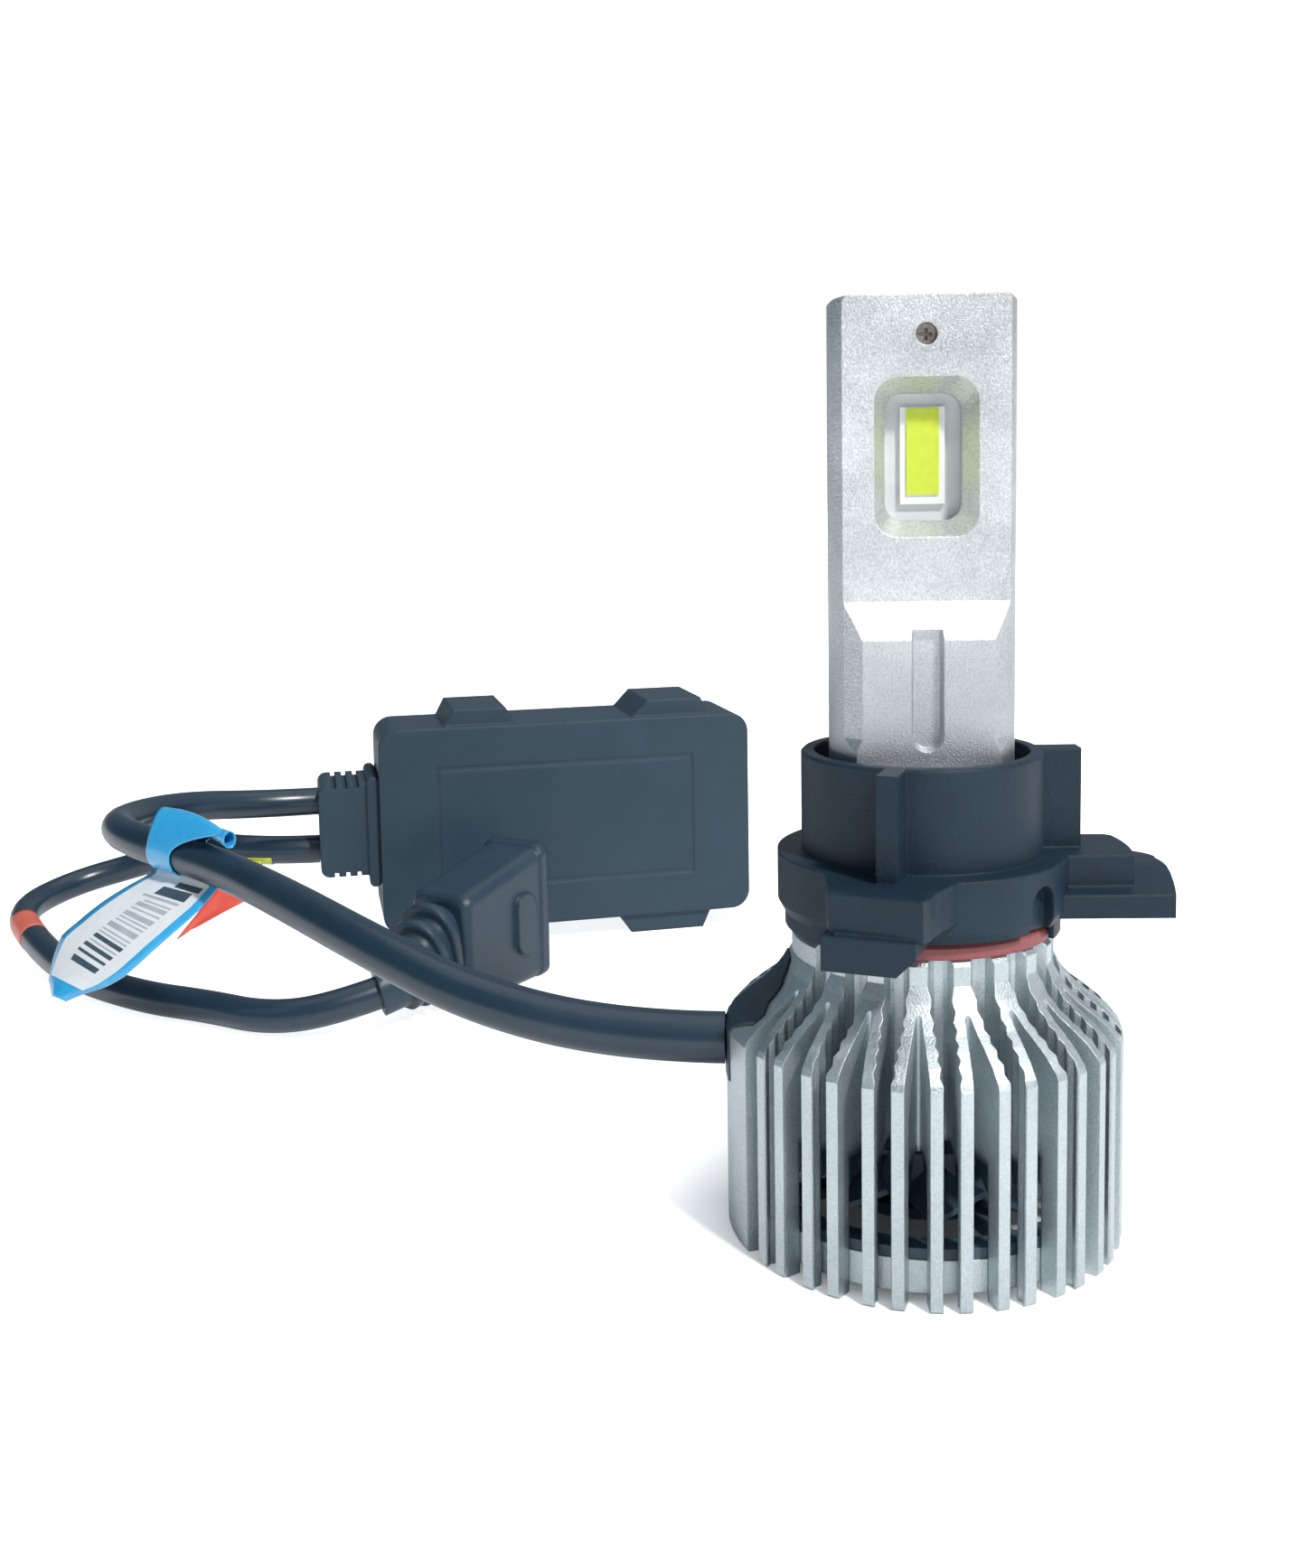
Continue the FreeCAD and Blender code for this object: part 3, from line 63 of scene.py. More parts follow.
# --------------------------------------------------------- material helpers
class Mat:
    """One procedural material: a Principled shader and the nodes that feed it."""

    def __init__(self, name, **sockets):
        self.m = bpy.data.materials.new(name)
        self.m.use_nodes = True
        self.t = self.m.node_tree
        self.t.nodes.clear()
        self.out = self.t.nodes.new("ShaderNodeOutputMaterial")
        self.b = self.t.nodes.new("ShaderNodeBsdfPrincipled")
        self.t.links.new(self.b.outputs[0], self.out.inputs[0])
        for k, v in sockets.items():
            self.b.inputs[k.replace("_", " ")].default_value = v
        self._coord = None

    def node(self, kind, props=None, **ins):
        n = self.t.nodes.new(kind)
        for k, v in (props or {}).items():
            setattr(n, k, v)
        for k, v in ins.items():
            key = int(k[1:]) if k[0] == "i" and k[1:].isdigit() else k.replace("_", " ")
            if isinstance(v, (bpy.types.NodeSocket,)):
                self.t.links.new(v, n.inputs[key])
            else:
                n.inputs[key].default_value = v
        return n

    def coord(self, which="Object"):
        if self._coord is None:
            self._coord = self.t.nodes.new("ShaderNodeTexCoord")
        return self._coord.outputs[which]

    def noise(self, scale, detail=3.0, rough=0.55, stretch=None, distortion=0.0, which="Object"):
        v = self.coord(which)
        if stretch:
            v = self.node("ShaderNodeMapping", Vector=v, Scale=stretch).outputs[0]
        return self.node("ShaderNodeTexNoise", Vector=v, Scale=scale, Detail=detail, Roughness=rough,
                         Distortion=distortion).outputs["Fac"]

    def voronoi(self, scale, feature="F1", stretch=None, out="Distance"):
        v = self.coord()
        if stretch:
            v = self.node("ShaderNodeMapping", Vector=v, Scale=stretch).outputs[0]
        return self.node("ShaderNodeTexVoronoi", {"feature": feature}, Vector=v, Scale=scale).outputs[out]

    def math(self, op, a, b=None, clamp=False):
        ins = {"i0": a}
        if b is not None:
            ins["i1"] = b
        return self.node("ShaderNodeMath", {"operation": op, "use_clamp": clamp}, **ins).outputs[0]

    def remap(self, v, a, b, c, d):
        return self.node("ShaderNodeMapRange", Value=v, From_Min=a, From_Max=b, To_Min=c, To_Max=d).outputs[0]

    def ramp(self, fac, stops):
        n = self.t.nodes.new("ShaderNodeValToRGB")
        self.t.links.new(fac, n.inputs[0])
        el = n.color_ramp.elements
        while len(el) < len(stops):
            el.new(0.5)
        for e, (p, c) in zip(el, stops):
            e.position = p
            e.color = (*c, 1.0)
        return n.outputs[0]

    def mix(self, fac, a, b):
        n = self.node("ShaderNodeMix", {"data_type": "RGBA"})
        for i, v in ((0, fac), (6, a), (7, b)):
            if isinstance(v, bpy.types.NodeSocket):
                self.t.links.new(v, n.inputs[i])
            else:
                n.inputs[i].default_value = (*v, 1.0) if isinstance(v, tuple) and len(v) == 3 else v
        return n.outputs[2]

    def set(self, socket, value):
        self.t.links.new(value, self.b.inputs[socket])
        return self

    def soft_edge(self, radius):
        """Rounded edges of the given radius in metres; None keeps them sharp."""
        if radius <= 0:
            return None
        return self.node("ShaderNodeBevel", {"samples": 4}, Radius=radius).outputs[0]

    def bump(self, height, strength=0.3, distance=0.0001, normal=None):
        ins = {"Strength": strength, "Distance": distance, "Height": height}
        if normal is not None:
            ins["Normal"] = normal
        return self.node("ShaderNodeBump", **ins).outputs[0]


def lin(r, g, b):
    """sRGB 0-255 to linear."""
    return tuple((c / 255 / 12.92) if c / 255 <= 0.04045 else ((c / 255 + 0.055) / 1.055) ** 2.4 for c in (r, g, b))


def plastic(name, dark, light, rough, spread=0.06, grain=2600.0, grain_strength=0.25, grain_depth=0.00003,
            blotch=120.0, spec=0.5, coat=0.0, edge=0.0):
    """Moulded plastic: slow colour drift, fine spark-eroded grain, small roughness drift."""
    m = Mat(name, Specular_IOR_Level=spec, Coat_Weight=coat, Coat_Roughness=0.15)
    slow = m.noise(blotch, 4.0, 0.6)
    fine = m.noise(grain, 2.0, 0.5)
    m.set("Base Color", m.ramp(m.math("ADD", m.math("MULTIPLY", slow, 0.75), m.math("MULTIPLY", fine, 0.25)),
                               [(0.32, dark), (0.68, light)]))
    m.set("Roughness", m.remap(slow, 0.3, 0.7, rough - spread, rough + spread))
    m.set("Normal", m.bump(fine, grain_strength, grain_depth, m.soft_edge(edge)))
    return m


def metal(name, dark, light, rough, spread=0.08, grain=3500.0, grain_strength=0.35, grain_depth=0.00004, blotch=90.0,
          metallic=1.0, stretch=None, edge=0.0):
    m = Mat(name, Metallic=metallic)
    slow = m.noise(blotch, 5.0, 0.62)
    fine = m.noise(grain, 3.0, 0.6, stretch)
    m.set("Base Color", m.ramp(m.math("ADD", m.math("MULTIPLY", slow, 0.5), m.math("MULTIPLY", fine, 0.5)),
                               [(0.33, dark), (0.66, light)]))
    m.set("Roughness", m.remap(m.math("ADD", slow, fine), 0.7, 1.3, rough - spread, rough + spread))
    m.set("Normal", m.bump(fine, grain_strength, grain_depth, m.soft_edge(edge)))
    return m


# --------------------------------------------------------------- materials
M = {}
M["aluminium"] = metal("aluminium", (0.46, 0.525, 0.555), (0.74, 0.81, 0.83), 0.46, grain=5200, grain_strength=0.7, grain_depth=0.00006, metallic=0.9, edge=0.00012)
# the sink's metal, with painted shade that turns the inside of the fan bore dark navy
sink = metal("sink_aluminium", (0.46, 0.525, 0.555), (0.74, 0.81, 0.83), 0.46, grain=5200, grain_strength=0.7, grain_depth=0.00006, metallic=0.9, edge=0.00012)
place = sink.node("ShaderNodeSeparateXYZ", Vector=sink.coord()).outputs
across = sink.math("POWER", sink.math("ADD", sink.math("MULTIPLY", place[0], place[0]), sink.math("MULTIPLY", place[1], place[1])), 0.5)
bore_painted_shade = sink.math("MULTIPLY", sink.remap(across, 0.0151, 0.0147, 0.0, 1.0), sink.remap(place[2], 0.0114, 0.0106, 0.0, 1.0))
sink.set("Base Color", sink.mix(bore_painted_shade, sink.b.inputs["Base Color"].links[0].from_socket, (0.08, 0.13, 0.17)))
M["sink_aluminium"] = sink
M["mast_aluminium"] = metal("mast_aluminium", (0.46, 0.48, 0.495), (0.92, 0.935, 0.955), 0.44, grain=5200, grain_strength=0.8, grain_depth=0.00008, metallic=0.9, edge=0.00014)
mast = M["mast_aluminium"]
# painted shade: the mast's lower part darkens and turns bluish grey towards its foot
foot_painted_shade = mast.remap(mast.node("ShaderNodeSeparateXYZ", Vector=mast.coord()).outputs[2], 0.052, 0.045, 0.0, 0.42)
mast.set("Base Color", mast.mix(foot_painted_shade, mast.b.inputs["Base Color"].links[0].from_socket, (0.42, 0.44, 0.50)))
board = metal("copper_board", (0.62, 0.36, 0.26), (0.82, 0.55, 0.42), 0.35)
geo = board.node("ShaderNodeNewGeometry")
face_y = board.math("ABSOLUTE", board.node("ShaderNodeSeparateXYZ", Vector=geo.outputs["True Normal"]).outputs[1])
mask = board.math("GREATER_THAN", face_y, 0.6)
copper = board.b.inputs["Base Color"].links[0].from_socket
# front faces: white solder mask toned down to grey, as painted shade for the window recess
board.set("Base Color", board.mix(mask, copper, board.ramp(board.noise(400.0, 3.0), [(0.3, (0.58, 0.61, 0.61)), (0.7, (0.68, 0.71, 0.71))])))
board.set("Metallic", board.math("SUBTRACT", 1.0, mask))
M["copper_board"] = board
M["led_ceramic"] = plastic("led_ceramic", (0.78, 0.80, 0.76), (0.88, 0.90, 0.86), 0.32, grain=5000, edge=0.00008)
M["phosphor"] = plastic("phosphor", lin(198, 216, 58), lin(210, 227, 72), 0.42, grain=9000, grain_strength=0.4, blotch=900)
M["steel"] = metal("steel", (0.42, 0.43, 0.45), (0.62, 0.63, 0.65), 0.30, stretch=(1, 1, 6))
M["dark_screw"] = metal("dark_screw", (0.30, 0.26, 0.23), (0.52, 0.47, 0.43), 0.38, grain=5000, metallic=0.85, edge=0.0001)
M["black_nylon"] = plastic("black_nylon", (0.0050, 0.017, 0.031), (0.0125, 0.034, 0.058), 0.50, spec=0.36, grain=4200, grain_strength=0.7, grain_depth=0.00005, edge=0.0003)
M["red_silicone"] = plastic("red_silicone", (0.20, 0.050, 0.055), (0.32, 0.085, 0.085), 0.45, edge=0.0002)
M["black_plastic"] = plastic("black_plastic", (0.030, 0.060, 0.090), (0.055, 0.095, 0.135), 0.40, edge=0.0001)
M["bronze"] = metal("bronze", (0.45, 0.28, 0.12), (0.62, 0.42, 0.20), 0.4)
M["magnet"] = metal("magnet", (0.10, 0.10, 0.11), (0.18, 0.18, 0.19), 0.5, metallic=0.6)
M["copper_winding"] = metal("copper_winding", (0.55, 0.20, 0.08), (0.85, 0.42, 0.20), 0.28, stretch=(1, 1, 5), grain=1800)
M["circuit_board"] = plastic("circuit_board", (0.010, 0.09, 0.04), (0.02, 0.16, 0.07), 0.35)
M["cable_jacket"] = plastic("cable_jacket", (0.008, 0.025, 0.045), (0.014, 0.036, 0.061), 0.30, spread=0.02, grain=2400, grain_strength=0.02, spec=0.62)
M["black_silicone"] = plastic("black_silicone", (0.012, 0.028, 0.044), (0.026, 0.050, 0.074), 0.42, edge=0.0004)
M["driver_plastic"] = plastic("driver_plastic", (0.017, 0.043, 0.068), (0.025, 0.054, 0.083), 0.52, grain=2600, grain_strength=0.35, edge=0.0006)
M["capacitor_can"] = metal("capacitor_can", (0.55, 0.56, 0.58), (0.75, 0.76, 0.78), 0.3)
M["chip_epoxy"] = plastic("chip_epoxy", (0.012, 0.012, 0.014), (0.025, 0.025, 0.028), 0.55)
M["plug_plastic"] = plastic("plug_plastic", (0.0155, 0.038, 0.061), (0.024, 0.051, 0.079), 0.40, grain=2600, edge=0.0006)
M["tinned_brass"] = metal("tinned_brass", (0.62, 0.60, 0.52), (0.80, 0.78, 0.70), 0.25)
M["grey_seal"] = plastic("grey_seal", (0.20, 0.21, 0.22), (0.28, 0.29, 0.30), 0.55)
M["tag_white"] = plastic("tag_white", (0.80, 0.84, 0.88), (0.90, 0.93, 0.95), 0.35, spec=0.5, blotch=300)
M["tag_blue"] = plastic("tag_blue", (0.028, 0.38, 0.76), (0.055, 0.47, 0.86), 0.22, spec=0.6, grain=900, grain_strength=0.3, blotch=260, coat=0.4)
M["tag_grey"] = plastic("tag_grey", (0.40, 0.44, 0.50), (0.52, 0.56, 0.62), 0.4, blotch=600)
M["tag_dark"] = plastic("tag_dark", (0.045, 0.08, 0.11), (0.075, 0.115, 0.15), 0.4, blotch=600)
M["flag_film"] = plastic("flag_film", lin(228, 78, 60), lin(244, 104, 86), 0.3, blotch=200)
M["flag_yellow"] = plastic("flag_yellow", lin(176, 186, 56), lin(204, 214, 80), 0.35, blotch=400)
M["red_heatshrink"] = plastic("red_heatshrink", lin(214, 88, 66), lin(228, 118, 96), 0.35, blotch=300)

SLOT_OF = {"heat_sink": "sink_aluminium", "mast_front": "mast_aluminium", "mast_rear": "mast_aluminium", "led_board": "copper_board",
           "led_front": "led_ceramic", "led_rear": "led_ceramic", "phosphor_front": "phosphor", "phosphor_rear": "phosphor",
           "mast_screw": "dark_screw", "mast_base_screws": "steel", "collar": "black_nylon", "collar_seal": "red_silicone",
           "fan_frame": "black_plastic", "fan_retainer": "aluminium", "fan_screws": "steel", "fan_bearing": "bronze",
           "fan_shaft": "steel", "fan_rotor": "black_plastic", "fan_magnet": "magnet", "fan_stator": "copper_winding",
           "fan_pcb": "circuit_board", "bulb_cable": "cable_jacket", "input_cable": "cable_jacket",
           "cable_grommet": "black_silicone", "driver_case": "driver_plastic", "driver_cover": "driver_plastic",
           "driver_pcb": "circuit_board", "driver_capacitor": "capacitor_can", "driver_inductor": "copper_winding",
           "driver_ic": "chip_epoxy", "driver_strain_relief": "driver_plastic", "plug_housing": "plug_plastic",
           "plug_terminals": "tinned_brass", "plug_seal": "grey_seal", "plug_boot": "plug_plastic", "wire_tag": "tag_white",
           "tag_flag": "flag_film", "red_band": "red_heatshrink"}
for n, o in NODES.items():
    o.data.materials.clear()
    o.data.materials.append(M[SLOT_OF[n]].m)


def link(o):
    scene.collection.objects.link(o)
    return o


# ------------------------------------------------------------------- cords
BULB_ROUTE = [(-16.6, 0.2, 15.6), (-25.55, 0.47, 15.69), (-38.08, 2.54, 18.01), (-49.02, 9.65, 20.91), (-60.22, 20.17, 22.86),
              (-71.6, 32.95, 23.25), (-85.39, 43.53, 23.88), (-90.53, 56.12, 22.98), (-87.49, 69.64, 21.99), (-78.88, 78.46, 20.3),
              (-72.17, 80.3, 20.3)]
INPUT_ROUTE = [(-72.17, 80.3, 13.6), (-80.45, 78.02, 13.8), (-92.2, 83.3, 14.1), (-95.99, 98.45, 9.74), (-105.61, 103.65, 6.24),
               (-115.9, 99.16, 4.0), (-118.85, 88.17, 2.75), (-109.93, 74.39, 2.3), (-99.35, 61.0, 2.1), (-87.12, 52.04, 2.1),
               (-77.9, 48.6, 2.1), (-69.8, 44.3, 2.1), (-62.6, 44.1, 2.9), (-57.0, 46.6, 4.3)]


def nurbs(name, route, radius, bevel=True, taper=None):
    cu = bpy.data.curves.new(name, "CURVE")
    cu.dimensions = "3D"
    sp = cu.splines.new("NURBS")
    sp.points.add(len(route) - 1)
    for i, (p, q) in enumerate(zip(sp.points, route)):
        p.co = (q[0] * MM, q[1] * MM, q[2] * MM, 1.0)
        if taper:
            p.radius = taper[0] + (taper[1] - taper[0]) * i / (len(route) - 1)
    sp.order_u = 3
    sp.use_endpoint_u = True
    sp.resolution_u = 16
    cu.resolution_u = 16
    sp.use_smooth = True
    if bevel:
        cu.bevel_depth = radius
        cu.bevel_resolution = 8
        cu.use_fill_caps = True
    return bpy.data.objects.new(name, cu)


bulb_cord = link(nurbs("bulb_cord", BULB_ROUTE, 0.0021, taper=(1.04, 0.90)))
input_cord = link(nurbs("input_cord", INPUT_ROUTE, 0.0021, taper=(0.92, 0.92)))
for o, n in ((bulb_cord, "bulb_cable"), (input_cord, "input_cable")):
    o.data.materials.append(M["cable_jacket"].m)
    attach(o, "root")
    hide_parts(n)



def path_of(route):
    """Points and running length along the smooth route."""
    o = link(nurbs("route_probe", route, 0.0, bevel=False))
    bpy.context.view_layer.update()
    me = bpy.data.meshes.new_from_object(o.evaluated_get(bpy.context.evaluated_depsgraph_get()))
    pts = [v.co.copy() for v in me.vertices]
    bpy.data.objects.remove(o)
    bpy.data.meshes.remove(me)
    run = [0.0]
    for a, b in zip(pts, pts[1:]):
        run.append(run[-1] + (b - a).length)
    return pts, run


def along(path, t):
    """Point and unit tangent t metres along a path."""
    pts, run = path
    t = max(0.0, min(run[-1] - 1e-7, t))
    i = 0
    while run[i + 1] < t:
        i += 1
    f = (t - run[i]) / (run[i + 1] - run[i])
    lo_i, hi_i = max(0, i - 1), min(len(pts) - 1, i + 2)
    return pts[i].lerp(pts[i + 1], f), (pts[hi_i] - pts[lo_i]).normalized()


def mesh_piece(name, verts, faces, mats, mat_index=None, smooth=True):
    me = bpy.data.meshes.new(name)
    me.from_pydata([tuple(v) for v in verts], [], faces)
    for m in mats:
        me.materials.append(M[m].m)
    if mat_index:
        for p, k in zip(me.polygons, mat_index):
            p.material_index = k
    for p in me.polygons:
        p.use_smooth = smooth
    me.update()
    return link(bpy.data.objects.new(name, me))


def thicken(o, t, offset=0.0, even=True):
    m = o.modifiers.new("thickness", "SOLIDIFY")
    m.thickness = t
    m.offset = offset
    m.use_even_offset = even
    return o


BULB_PATH = path_of(BULB_ROUTE)
INPUT_PATH = path_of(INPUT_ROUTE)
UP = Vector((0, 0, 1))


def sleeve(name, path, s0, s1, radius, mats, rows=14, segs=32, wall=0.0002, shear0=0.0, shear1=0.0, lift=0.0, lift1=None, hump=0.0, arc=(0.0, 360.0)):
    """Thin sleeve round a cable; its top can lean along the cable and stand off it."""
    vs, fs = [], []
    closed = arc[1] - arc[0] > 359.9
    for i in range(rows + 1):
        w = i / rows
        for k in range(segs):
            a = math.radians(arc[0] + (arc[1] - arc[0]) * k / (segs if closed else segs - 1))
            up = max(0.0, math.sin(a))
            t = s0 + (s1 - s0) * w + (shear0 * (1 - w) + shear1 * w) * up ** 3.5
            c, g = along(path, t)
            side = g.cross(UP).normalized()
            n = side.cross(g).normalized()
            r = radius
            rr = r + ((lift if lift1 is None else lift + (lift1 - lift) * w) + hump * math.sin(math.pi * w)) * up ** 1.6
            vs.append(c + side * (r * math.cos(a)) + n * (rr * math.sin(a) if a <= math.pi else r * math.sin(a)))
    for i in range(rows):
        for k in range(segs if closed else segs - 1):
            a, b = i * segs + k, i * segs + (k + 1) % segs
            fs.append((a, b, b + segs, a + segs))
    return thicken(mesh_piece(name, vs, fs, mats), wall, 1.0)


# film tag folded round the bulb cable: a loose blue loop, a rolled end and a long tail
tag_loop = sleeve("tag_loop", BULB_PATH, 0.0714, 0.0760, 0.00225, ["tag_blue"], rows=24, segs=56, wall=0.00014,
                  shear0=-0.0088, shear1=0.0, lift=0.0018, lift1=0.0025, hump=0.0006)
rv, rf = [], []
for i in range(9):
    c, g = along(BULB_PATH, 0.0623 + 0.0005 * i)
    side = g.cross(UP).normalized()
    c = c + UP * (0.0034 + 0.00003 * i) + side * 0.0002
    for k in range(20):
        a = 2 * math.pi * k / 20
        rv.append(c + side * ((0.00062 - 0.00003 * i) * math.cos(a)) + UP * ((0.00082 - 0.00004 * i) * math.sin(a)))
for i in range(8):
    for k in range(20):
        a, b = i * 20 + k, i * 20 + (k + 1) % 20
        rf.append((a, b, b + 20, a + 20))
tag_roll = thicken(mesh_piece("tag_roll", rv, rf, ["tag_blue"]), 0.00012, -1.0)

TAIL_L = [(-79.3, 38.6, 22.6), (-79.87, 38.18, 20.84), (-82.54, 38.53, 18.93), (-85.33, 38.87, 16.91), (-88.0, 39.13, 14.89), (-90.37, 39.41, 13.16),
          (-91.19, 38.17, 11.05), (-91.2, 36.53, 9.2), (-90.28, 34.71, 7.95)]
TAIL_R = [(-70.6, 31.6, 22.4), (-70.29, 30.84, 20.86), (-71.52, 29.86, 18.69), (-74.55, 29.59, 15.77), (-77.48, 29.59, 13.24), (-79.79, 29.82, 11.51),
          (-82.56, 30.73, 10.14), (-85.75, 32.15, 8.99), (-87.93, 32.97, 8.02)]
TAIL_V = [-0.06, 0.0, 0.2, 0.4, 0.6, 0.75, 0.88, 0.95, 1.0]


def tail_edge(side, v):
    for i in range(len(TAIL_V) - 1):
        if v <= TAIL_V[i + 1] or i == len(TAIL_V) - 2:
            f = (v - TAIL_V[i]) / (TAIL_V[i + 1] - TAIL_V[i])
            p = [Vector(side[max(0, min(len(side) - 1, i + k))]) * MM for k in (-1, 0, 1, 2)]
            a = p[1] + (p[2] - p[1]) * f
            if 0 < i < len(TAIL_V) - 2:
                b = 0.5 * ((2 * p[1]) + (p[2] - p[0]) * f + (2 * p[0] - 5 * p[1] + 4 * p[2] - p[3]) * f * f + (3 * p[1] - p[0] - 3 * p[2] + p[3]) * f ** 3)
                a = a.lerp(b, 0.5)
            return a
    return Vector(side[-1]) * MM


# plain bars and blocks across the tail: (start, end, left, right, material)
BARS = [(0.03, 0.085, 0.52, 0.86, 3), (0.10, 0.185, 0.40, 0.80, 3), (0.205, 0.225, 0.30, 0.78, 2), (0.25, 0.262, 0.40, 0.76, 2),
        (0.275, 0.305, 0.36, 0.76, 2), (0.325, 0.337, 0.36, 0.76, 2), (0.36, 0.395, 0.36, 0.76, 2), (0.41, 0.422, 0.36, 0.76, 2),
        (0.44, 0.452, 0.36, 0.76, 2), (0.475, 0.515, 0.34, 0.76, 2), (0.54, 0.552, 0.34, 0.76, 2), (0.57, 0.582, 0.34, 0.76, 2),
        (0.60, 0.63, 0.34, 0.76, 3), (0.65, 0.662, 0.34, 0.76, 2), (0.68, 0.71, 0.34, 0.76, 3), (0.74, 0.76, 0.34, 0.76, 3),
        (0.79, 0.83, 0.34, 0.76, 3)]
us = sorted(set(round(x, 4) for x in [0.0, 0.08, 0.91, 1.0] + [0.2 + 0.1 * i for i in range(7)] + [b[2] for b in BARS] + [b[3] for b in BARS]))
vs_ = sorted(set(round(x, 4) for x in [-0.06, 0.84, 0.87, 0.9, 0.93, 0.95, 0.965, 0.98, 0.99, 1.0] + [0.05 * i for i in range(17)] + [b[0] for b in BARS] + [b[1] for b in BARS]))
tv, tf, tm = [], [], []
for v in vs_:
    l, r = tail_edge(TAIL_L, v), tail_edge(TAIL_R, v)
    for u in us:
        p = l.lerp(r, u)
        bow = 0.0006 * math.sin(math.pi * u) * (0.3 + 0.7 * max(v, 0.0)) + 0.0009 * math.sin(math.pi * max(0.0, min(1.0, v)))
        tv.append(p + Vector((-0.498, -0.648, 0.576)) * bow)
for i in range(len(vs_) - 1):
    for j in range(len(us) - 1):
        tf.append((i * len(us) + j, i * len(us) + j + 1, (i + 1) * len(us) + j + 1, (i + 1) * len(us) + j))
        v, u = (vs_[i] + vs_[i + 1]) / 2, (us[j] + us[j + 1]) / 2
        k = 0
        for b in BARS:
            if b[0] < v < b[1] and b[2] < u < b[3]:
                k = b[4]
        if u < 0.08 or u > 0.91 or v > 0.93:
            k = 1
        tm.append(k)
tag_tail = thicken(mesh_piece("tag_tail", tv, tf, ["tag_white", "tag_blue", "tag_grey", "tag_dark"], tm), 0.00022, 0.0, False)

# small folded flag on the driver side of the input cable
flag_loop = sleeve("flag_loop", INPUT_PATH, 0.0062, 0.0106, 0.00206, ["flag_yellow"], rows=8, segs=20, wall=0.00016, arc=(203.0, 352.0))
fl_pts = [[(-79.4, 77.5, 12.6), (-81.5, 77.3, 12.9)], [(-80.9, 77.0, 9.9), (-83.6, 77.0, 10.9)], [(-82.06, 77.0, 7.04), (-85.85, 77.0, 8.84)],
          [(-85.2, 77.05, 5.48), (-88.7, 77.05, 5.38)], [(-88.33, 77.0, 3.93), (-91.56, 77.0, 1.92)]]
fv, ff = [], []
NU = 9
rows_f = []
for i in range(len(fl_pts) - 1):
    for q in range(4):
        f = q / 4
        rows_f.append((Vector(fl_pts[i][0]).lerp(Vector(fl_pts[i + 1][0]), f), Vector(fl_pts[i][1]).lerp(Vector(fl_pts[i + 1][1]), f)))
rows_f.append((Vector(fl_pts[-1][0]), Vector(fl_pts[-1][1])))
for i, (a, b) in enumerate(rows_f):
    for j in range(NU):
        u = j / (NU - 1)
        p = a.lerp(b, u)
        p.y += 0.35 * math.sin(math.pi * u) * i / len(rows_f)
        fv.append(p * MM)
for i in range(len(rows_f) - 1):
    for j in range(NU - 1):
        ff.append((i * NU + j, i * NU + j + 1, (i + 1) * NU + j + 1, (i + 1) * NU + j))
flag_leaf = thicken(mesh_piece("flag_leaf", fv, ff, ["flag_film", "flag_yellow"], [1 if i < 3 * (NU - 1) else 0 for i in range(len(ff))]), 0.00025, 0.0)

shrink_band = sleeve("shrink_band", INPUT_PATH, 0.0737, 0.0820, 0.00197, ["red_heatshrink"], rows=10, segs=36, wall=0.00020)

for o, n, sl in ((tag_loop, "wire_tag", "tag_film"), (tag_roll, "wire_tag", "tag_film"), (tag_tail, "wire_tag", "tag_film"),
                 (flag_loop, "tag_flag", "flag_film"), (flag_leaf, "tag_flag", "flag_film"), (shrink_band, "red_band", "red_heatshrink")):
    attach(o, "root")
    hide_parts(n)

# ------------------------------------------------------------ floor, light
bm = bmesh.new()
bmesh.ops.create_circle(bm, cap_ends=True, cap_tris=False, segments=96, radius=6.0)
fl = bpy.data.meshes.new("floor")
bm.to_mesh(fl)
bm.free()
floor = link(bpy.data.objects.new("floor", fl))
fm = Mat("floor_paper", Roughness=0.9, Specular_IOR_Level=0.15)
fm.set("Base Color", fm.ramp(fm.noise(6.0, 3.0), [(0.3, (0.83, 0.835, 0.84)), (0.7, (0.86, 0.865, 0.87))]))
reach = fm.node("ShaderNodeVectorMath", {"operation": "LENGTH"}, i0=fm.coord()).outputs["Value"]
seen = fm.node("ShaderNodeLightPath").outputs["Is Camera Ray"]
# painted shadow: the floor's glow fades to near black under and round the heat sink's base
wide = fm.remap(reach, 0.015, 0.045, 0.0, 1.0)
near = fm.remap(reach, 0.012, 0.024, 0.0, 1.0)
painted_base_shadow = fm.math("ADD", wide, fm.math("MULTIPLY", seen, fm.math("SUBTRACT", near, wide)))
glow = fm.remap(reach, 0.06, 0.5, 0.86, 1.15)
fm.set("Emission Strength", fm.math("ADD", fm.math("MULTIPLY", seen, fm.math("SUBTRACT", glow, 0.36)), 0.36))
fm.set("Emission Color", fm.mix(painted_base_shadow, (0.02, 0.02, 0.02), (0.97, 0.985, 1.0)))
fl.materials.append(fm.m)

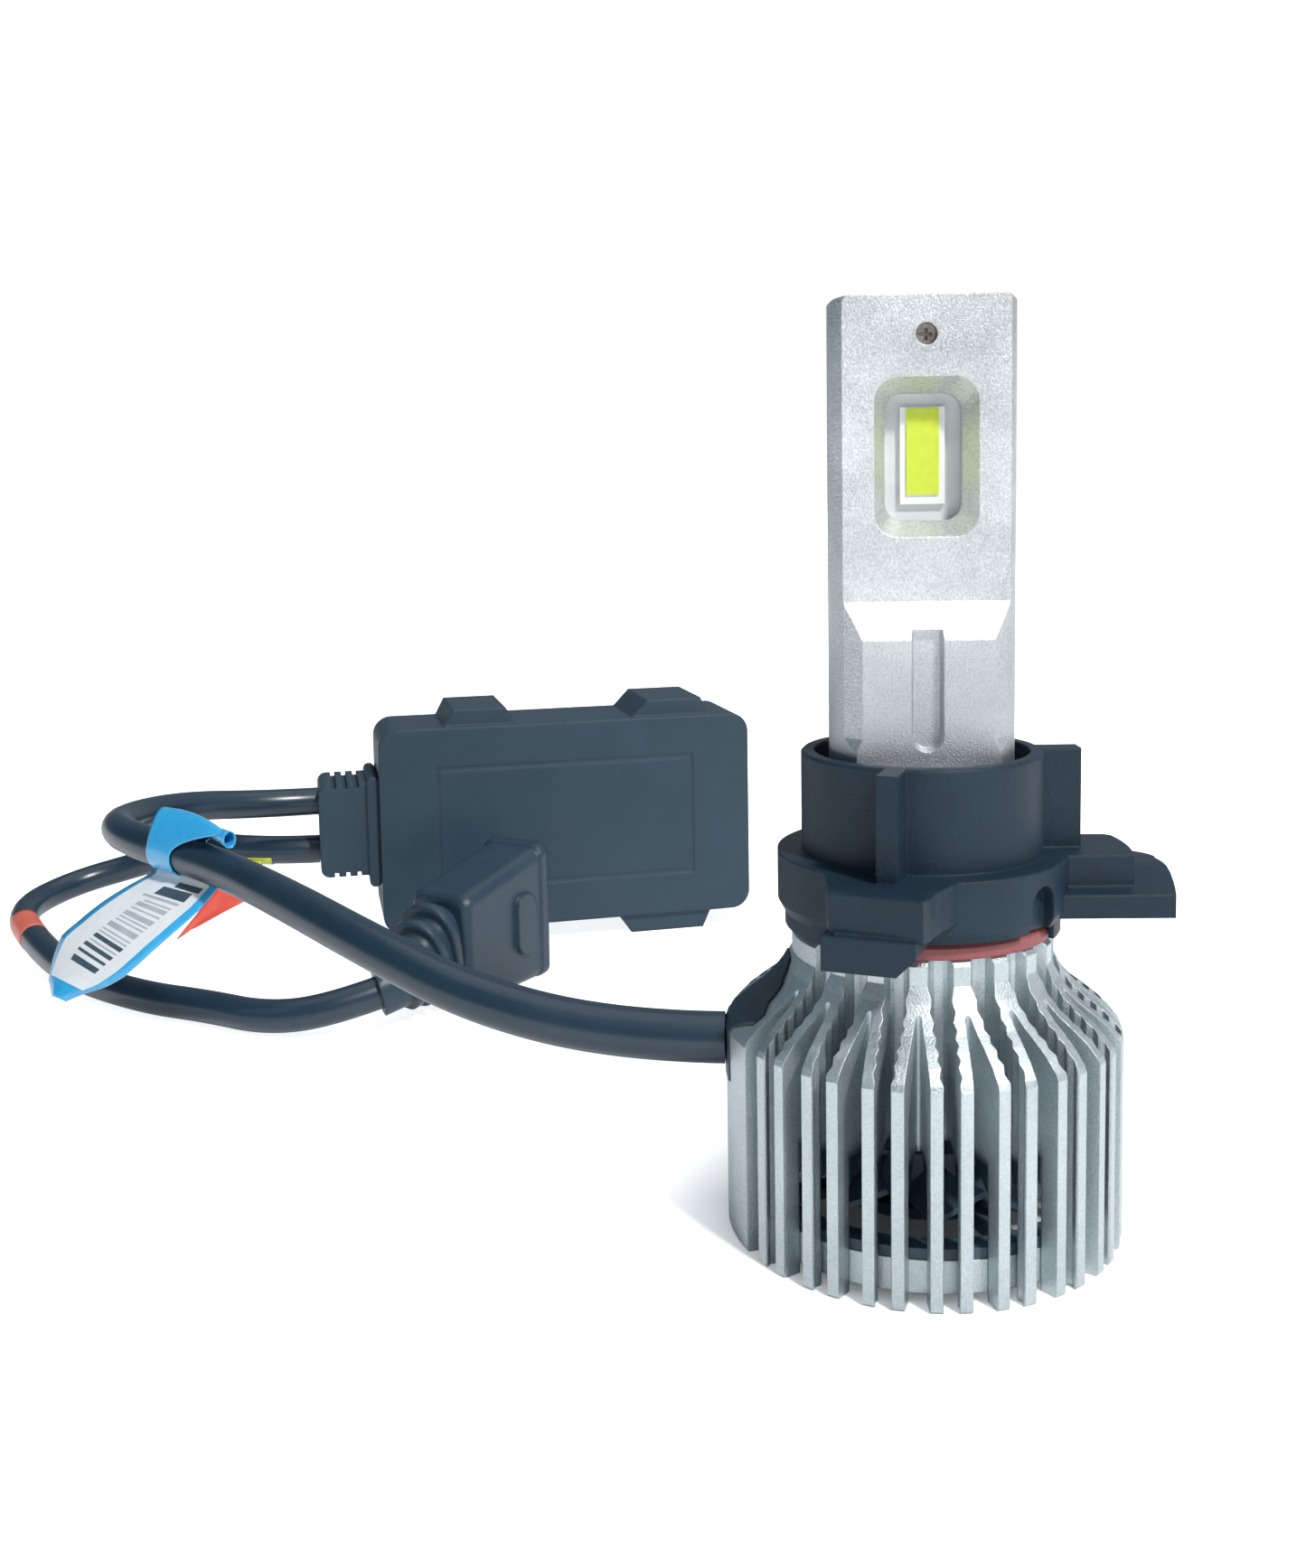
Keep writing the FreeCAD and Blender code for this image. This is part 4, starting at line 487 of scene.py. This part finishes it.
world = bpy.data.worlds.new("studio")
scene.world = world
world.use_nodes = True
wt = world.node_tree
wt.nodes.clear()
wo = wt.nodes.new("ShaderNodeOutputWorld")
bg = wt.nodes.new("ShaderNodeBackground")
tc = wt.nodes.new("ShaderNodeTexCoord")
sep = wt.nodes.new("ShaderNodeSeparateXYZ")
wt.links.new(tc.outputs["Generated"], sep.inputs[0])
mr = wt.nodes.new("ShaderNodeMapRange")
mr.inputs["From Min"].default_value = -1.0
mr.inputs["From Max"].default_value = 0.6
wt.links.new(sep.outputs[0], mr.inputs["Value"])
rp = wt.nodes.new("ShaderNodeValToRGB")
rp.color_ramp.elements[0].position = 0.1
rp.color_ramp.elements[0].color = (0.13, 0.23, 0.31, 1)
rp.color_ramp.elements[1].position = 1.0
rp.color_ramp.elements[1].color = (0.92, 0.96, 1.0, 1)
wt.links.new(mr.outputs[0], rp.inputs[0])
wt.links.new(rp.outputs[0], bg.inputs[0])
bg.inputs[1].default_value = 0.44
bgc = wt.nodes.new("ShaderNodeBackground")
bgc.inputs[0].default_value = (1.0, 1.0, 1.0, 1)
bgc.inputs[1].default_value = 1.0
lp = wt.nodes.new("ShaderNodeLightPath")
mx = wt.nodes.new("ShaderNodeMixShader")
wt.links.new(lp.outputs["Is Camera Ray"], mx.inputs[0])
wt.links.new(bg.outputs[0], mx.inputs[1])
wt.links.new(bgc.outputs[0], mx.inputs[2])
wt.links.new(mx.outputs[0], wo.inputs[0])


def area(name, loc, target, size, energy, color=(1, 1, 1), size_y=None):
    d = bpy.data.lights.new(name, "AREA")
    d.energy = energy
    d.color = color
    d.size = size
    if size_y:
        d.shape = "RECTANGLE"
        d.size_y = size_y
    o = link(bpy.data.objects.new(name, d))
    o.location = loc
    o.rotation_mode = "QUATERNION"
    o.rotation_quaternion = (Vector(target) - Vector(loc)).to_track_quat("-Z", "Y")
    return o


area("key", (0.473, -0.640, 0.949), (0.0, 0.0, 0.05), 0.10, 13.0, (1.0, 0.99, 0.97))
area("top", (0.0, 0.25, 1.6), (-0.05, 0.04, 0.02), 1.6, 6.0)

scene.view_settings.view_transform = "Standard"
scene.view_settings.look = "None"
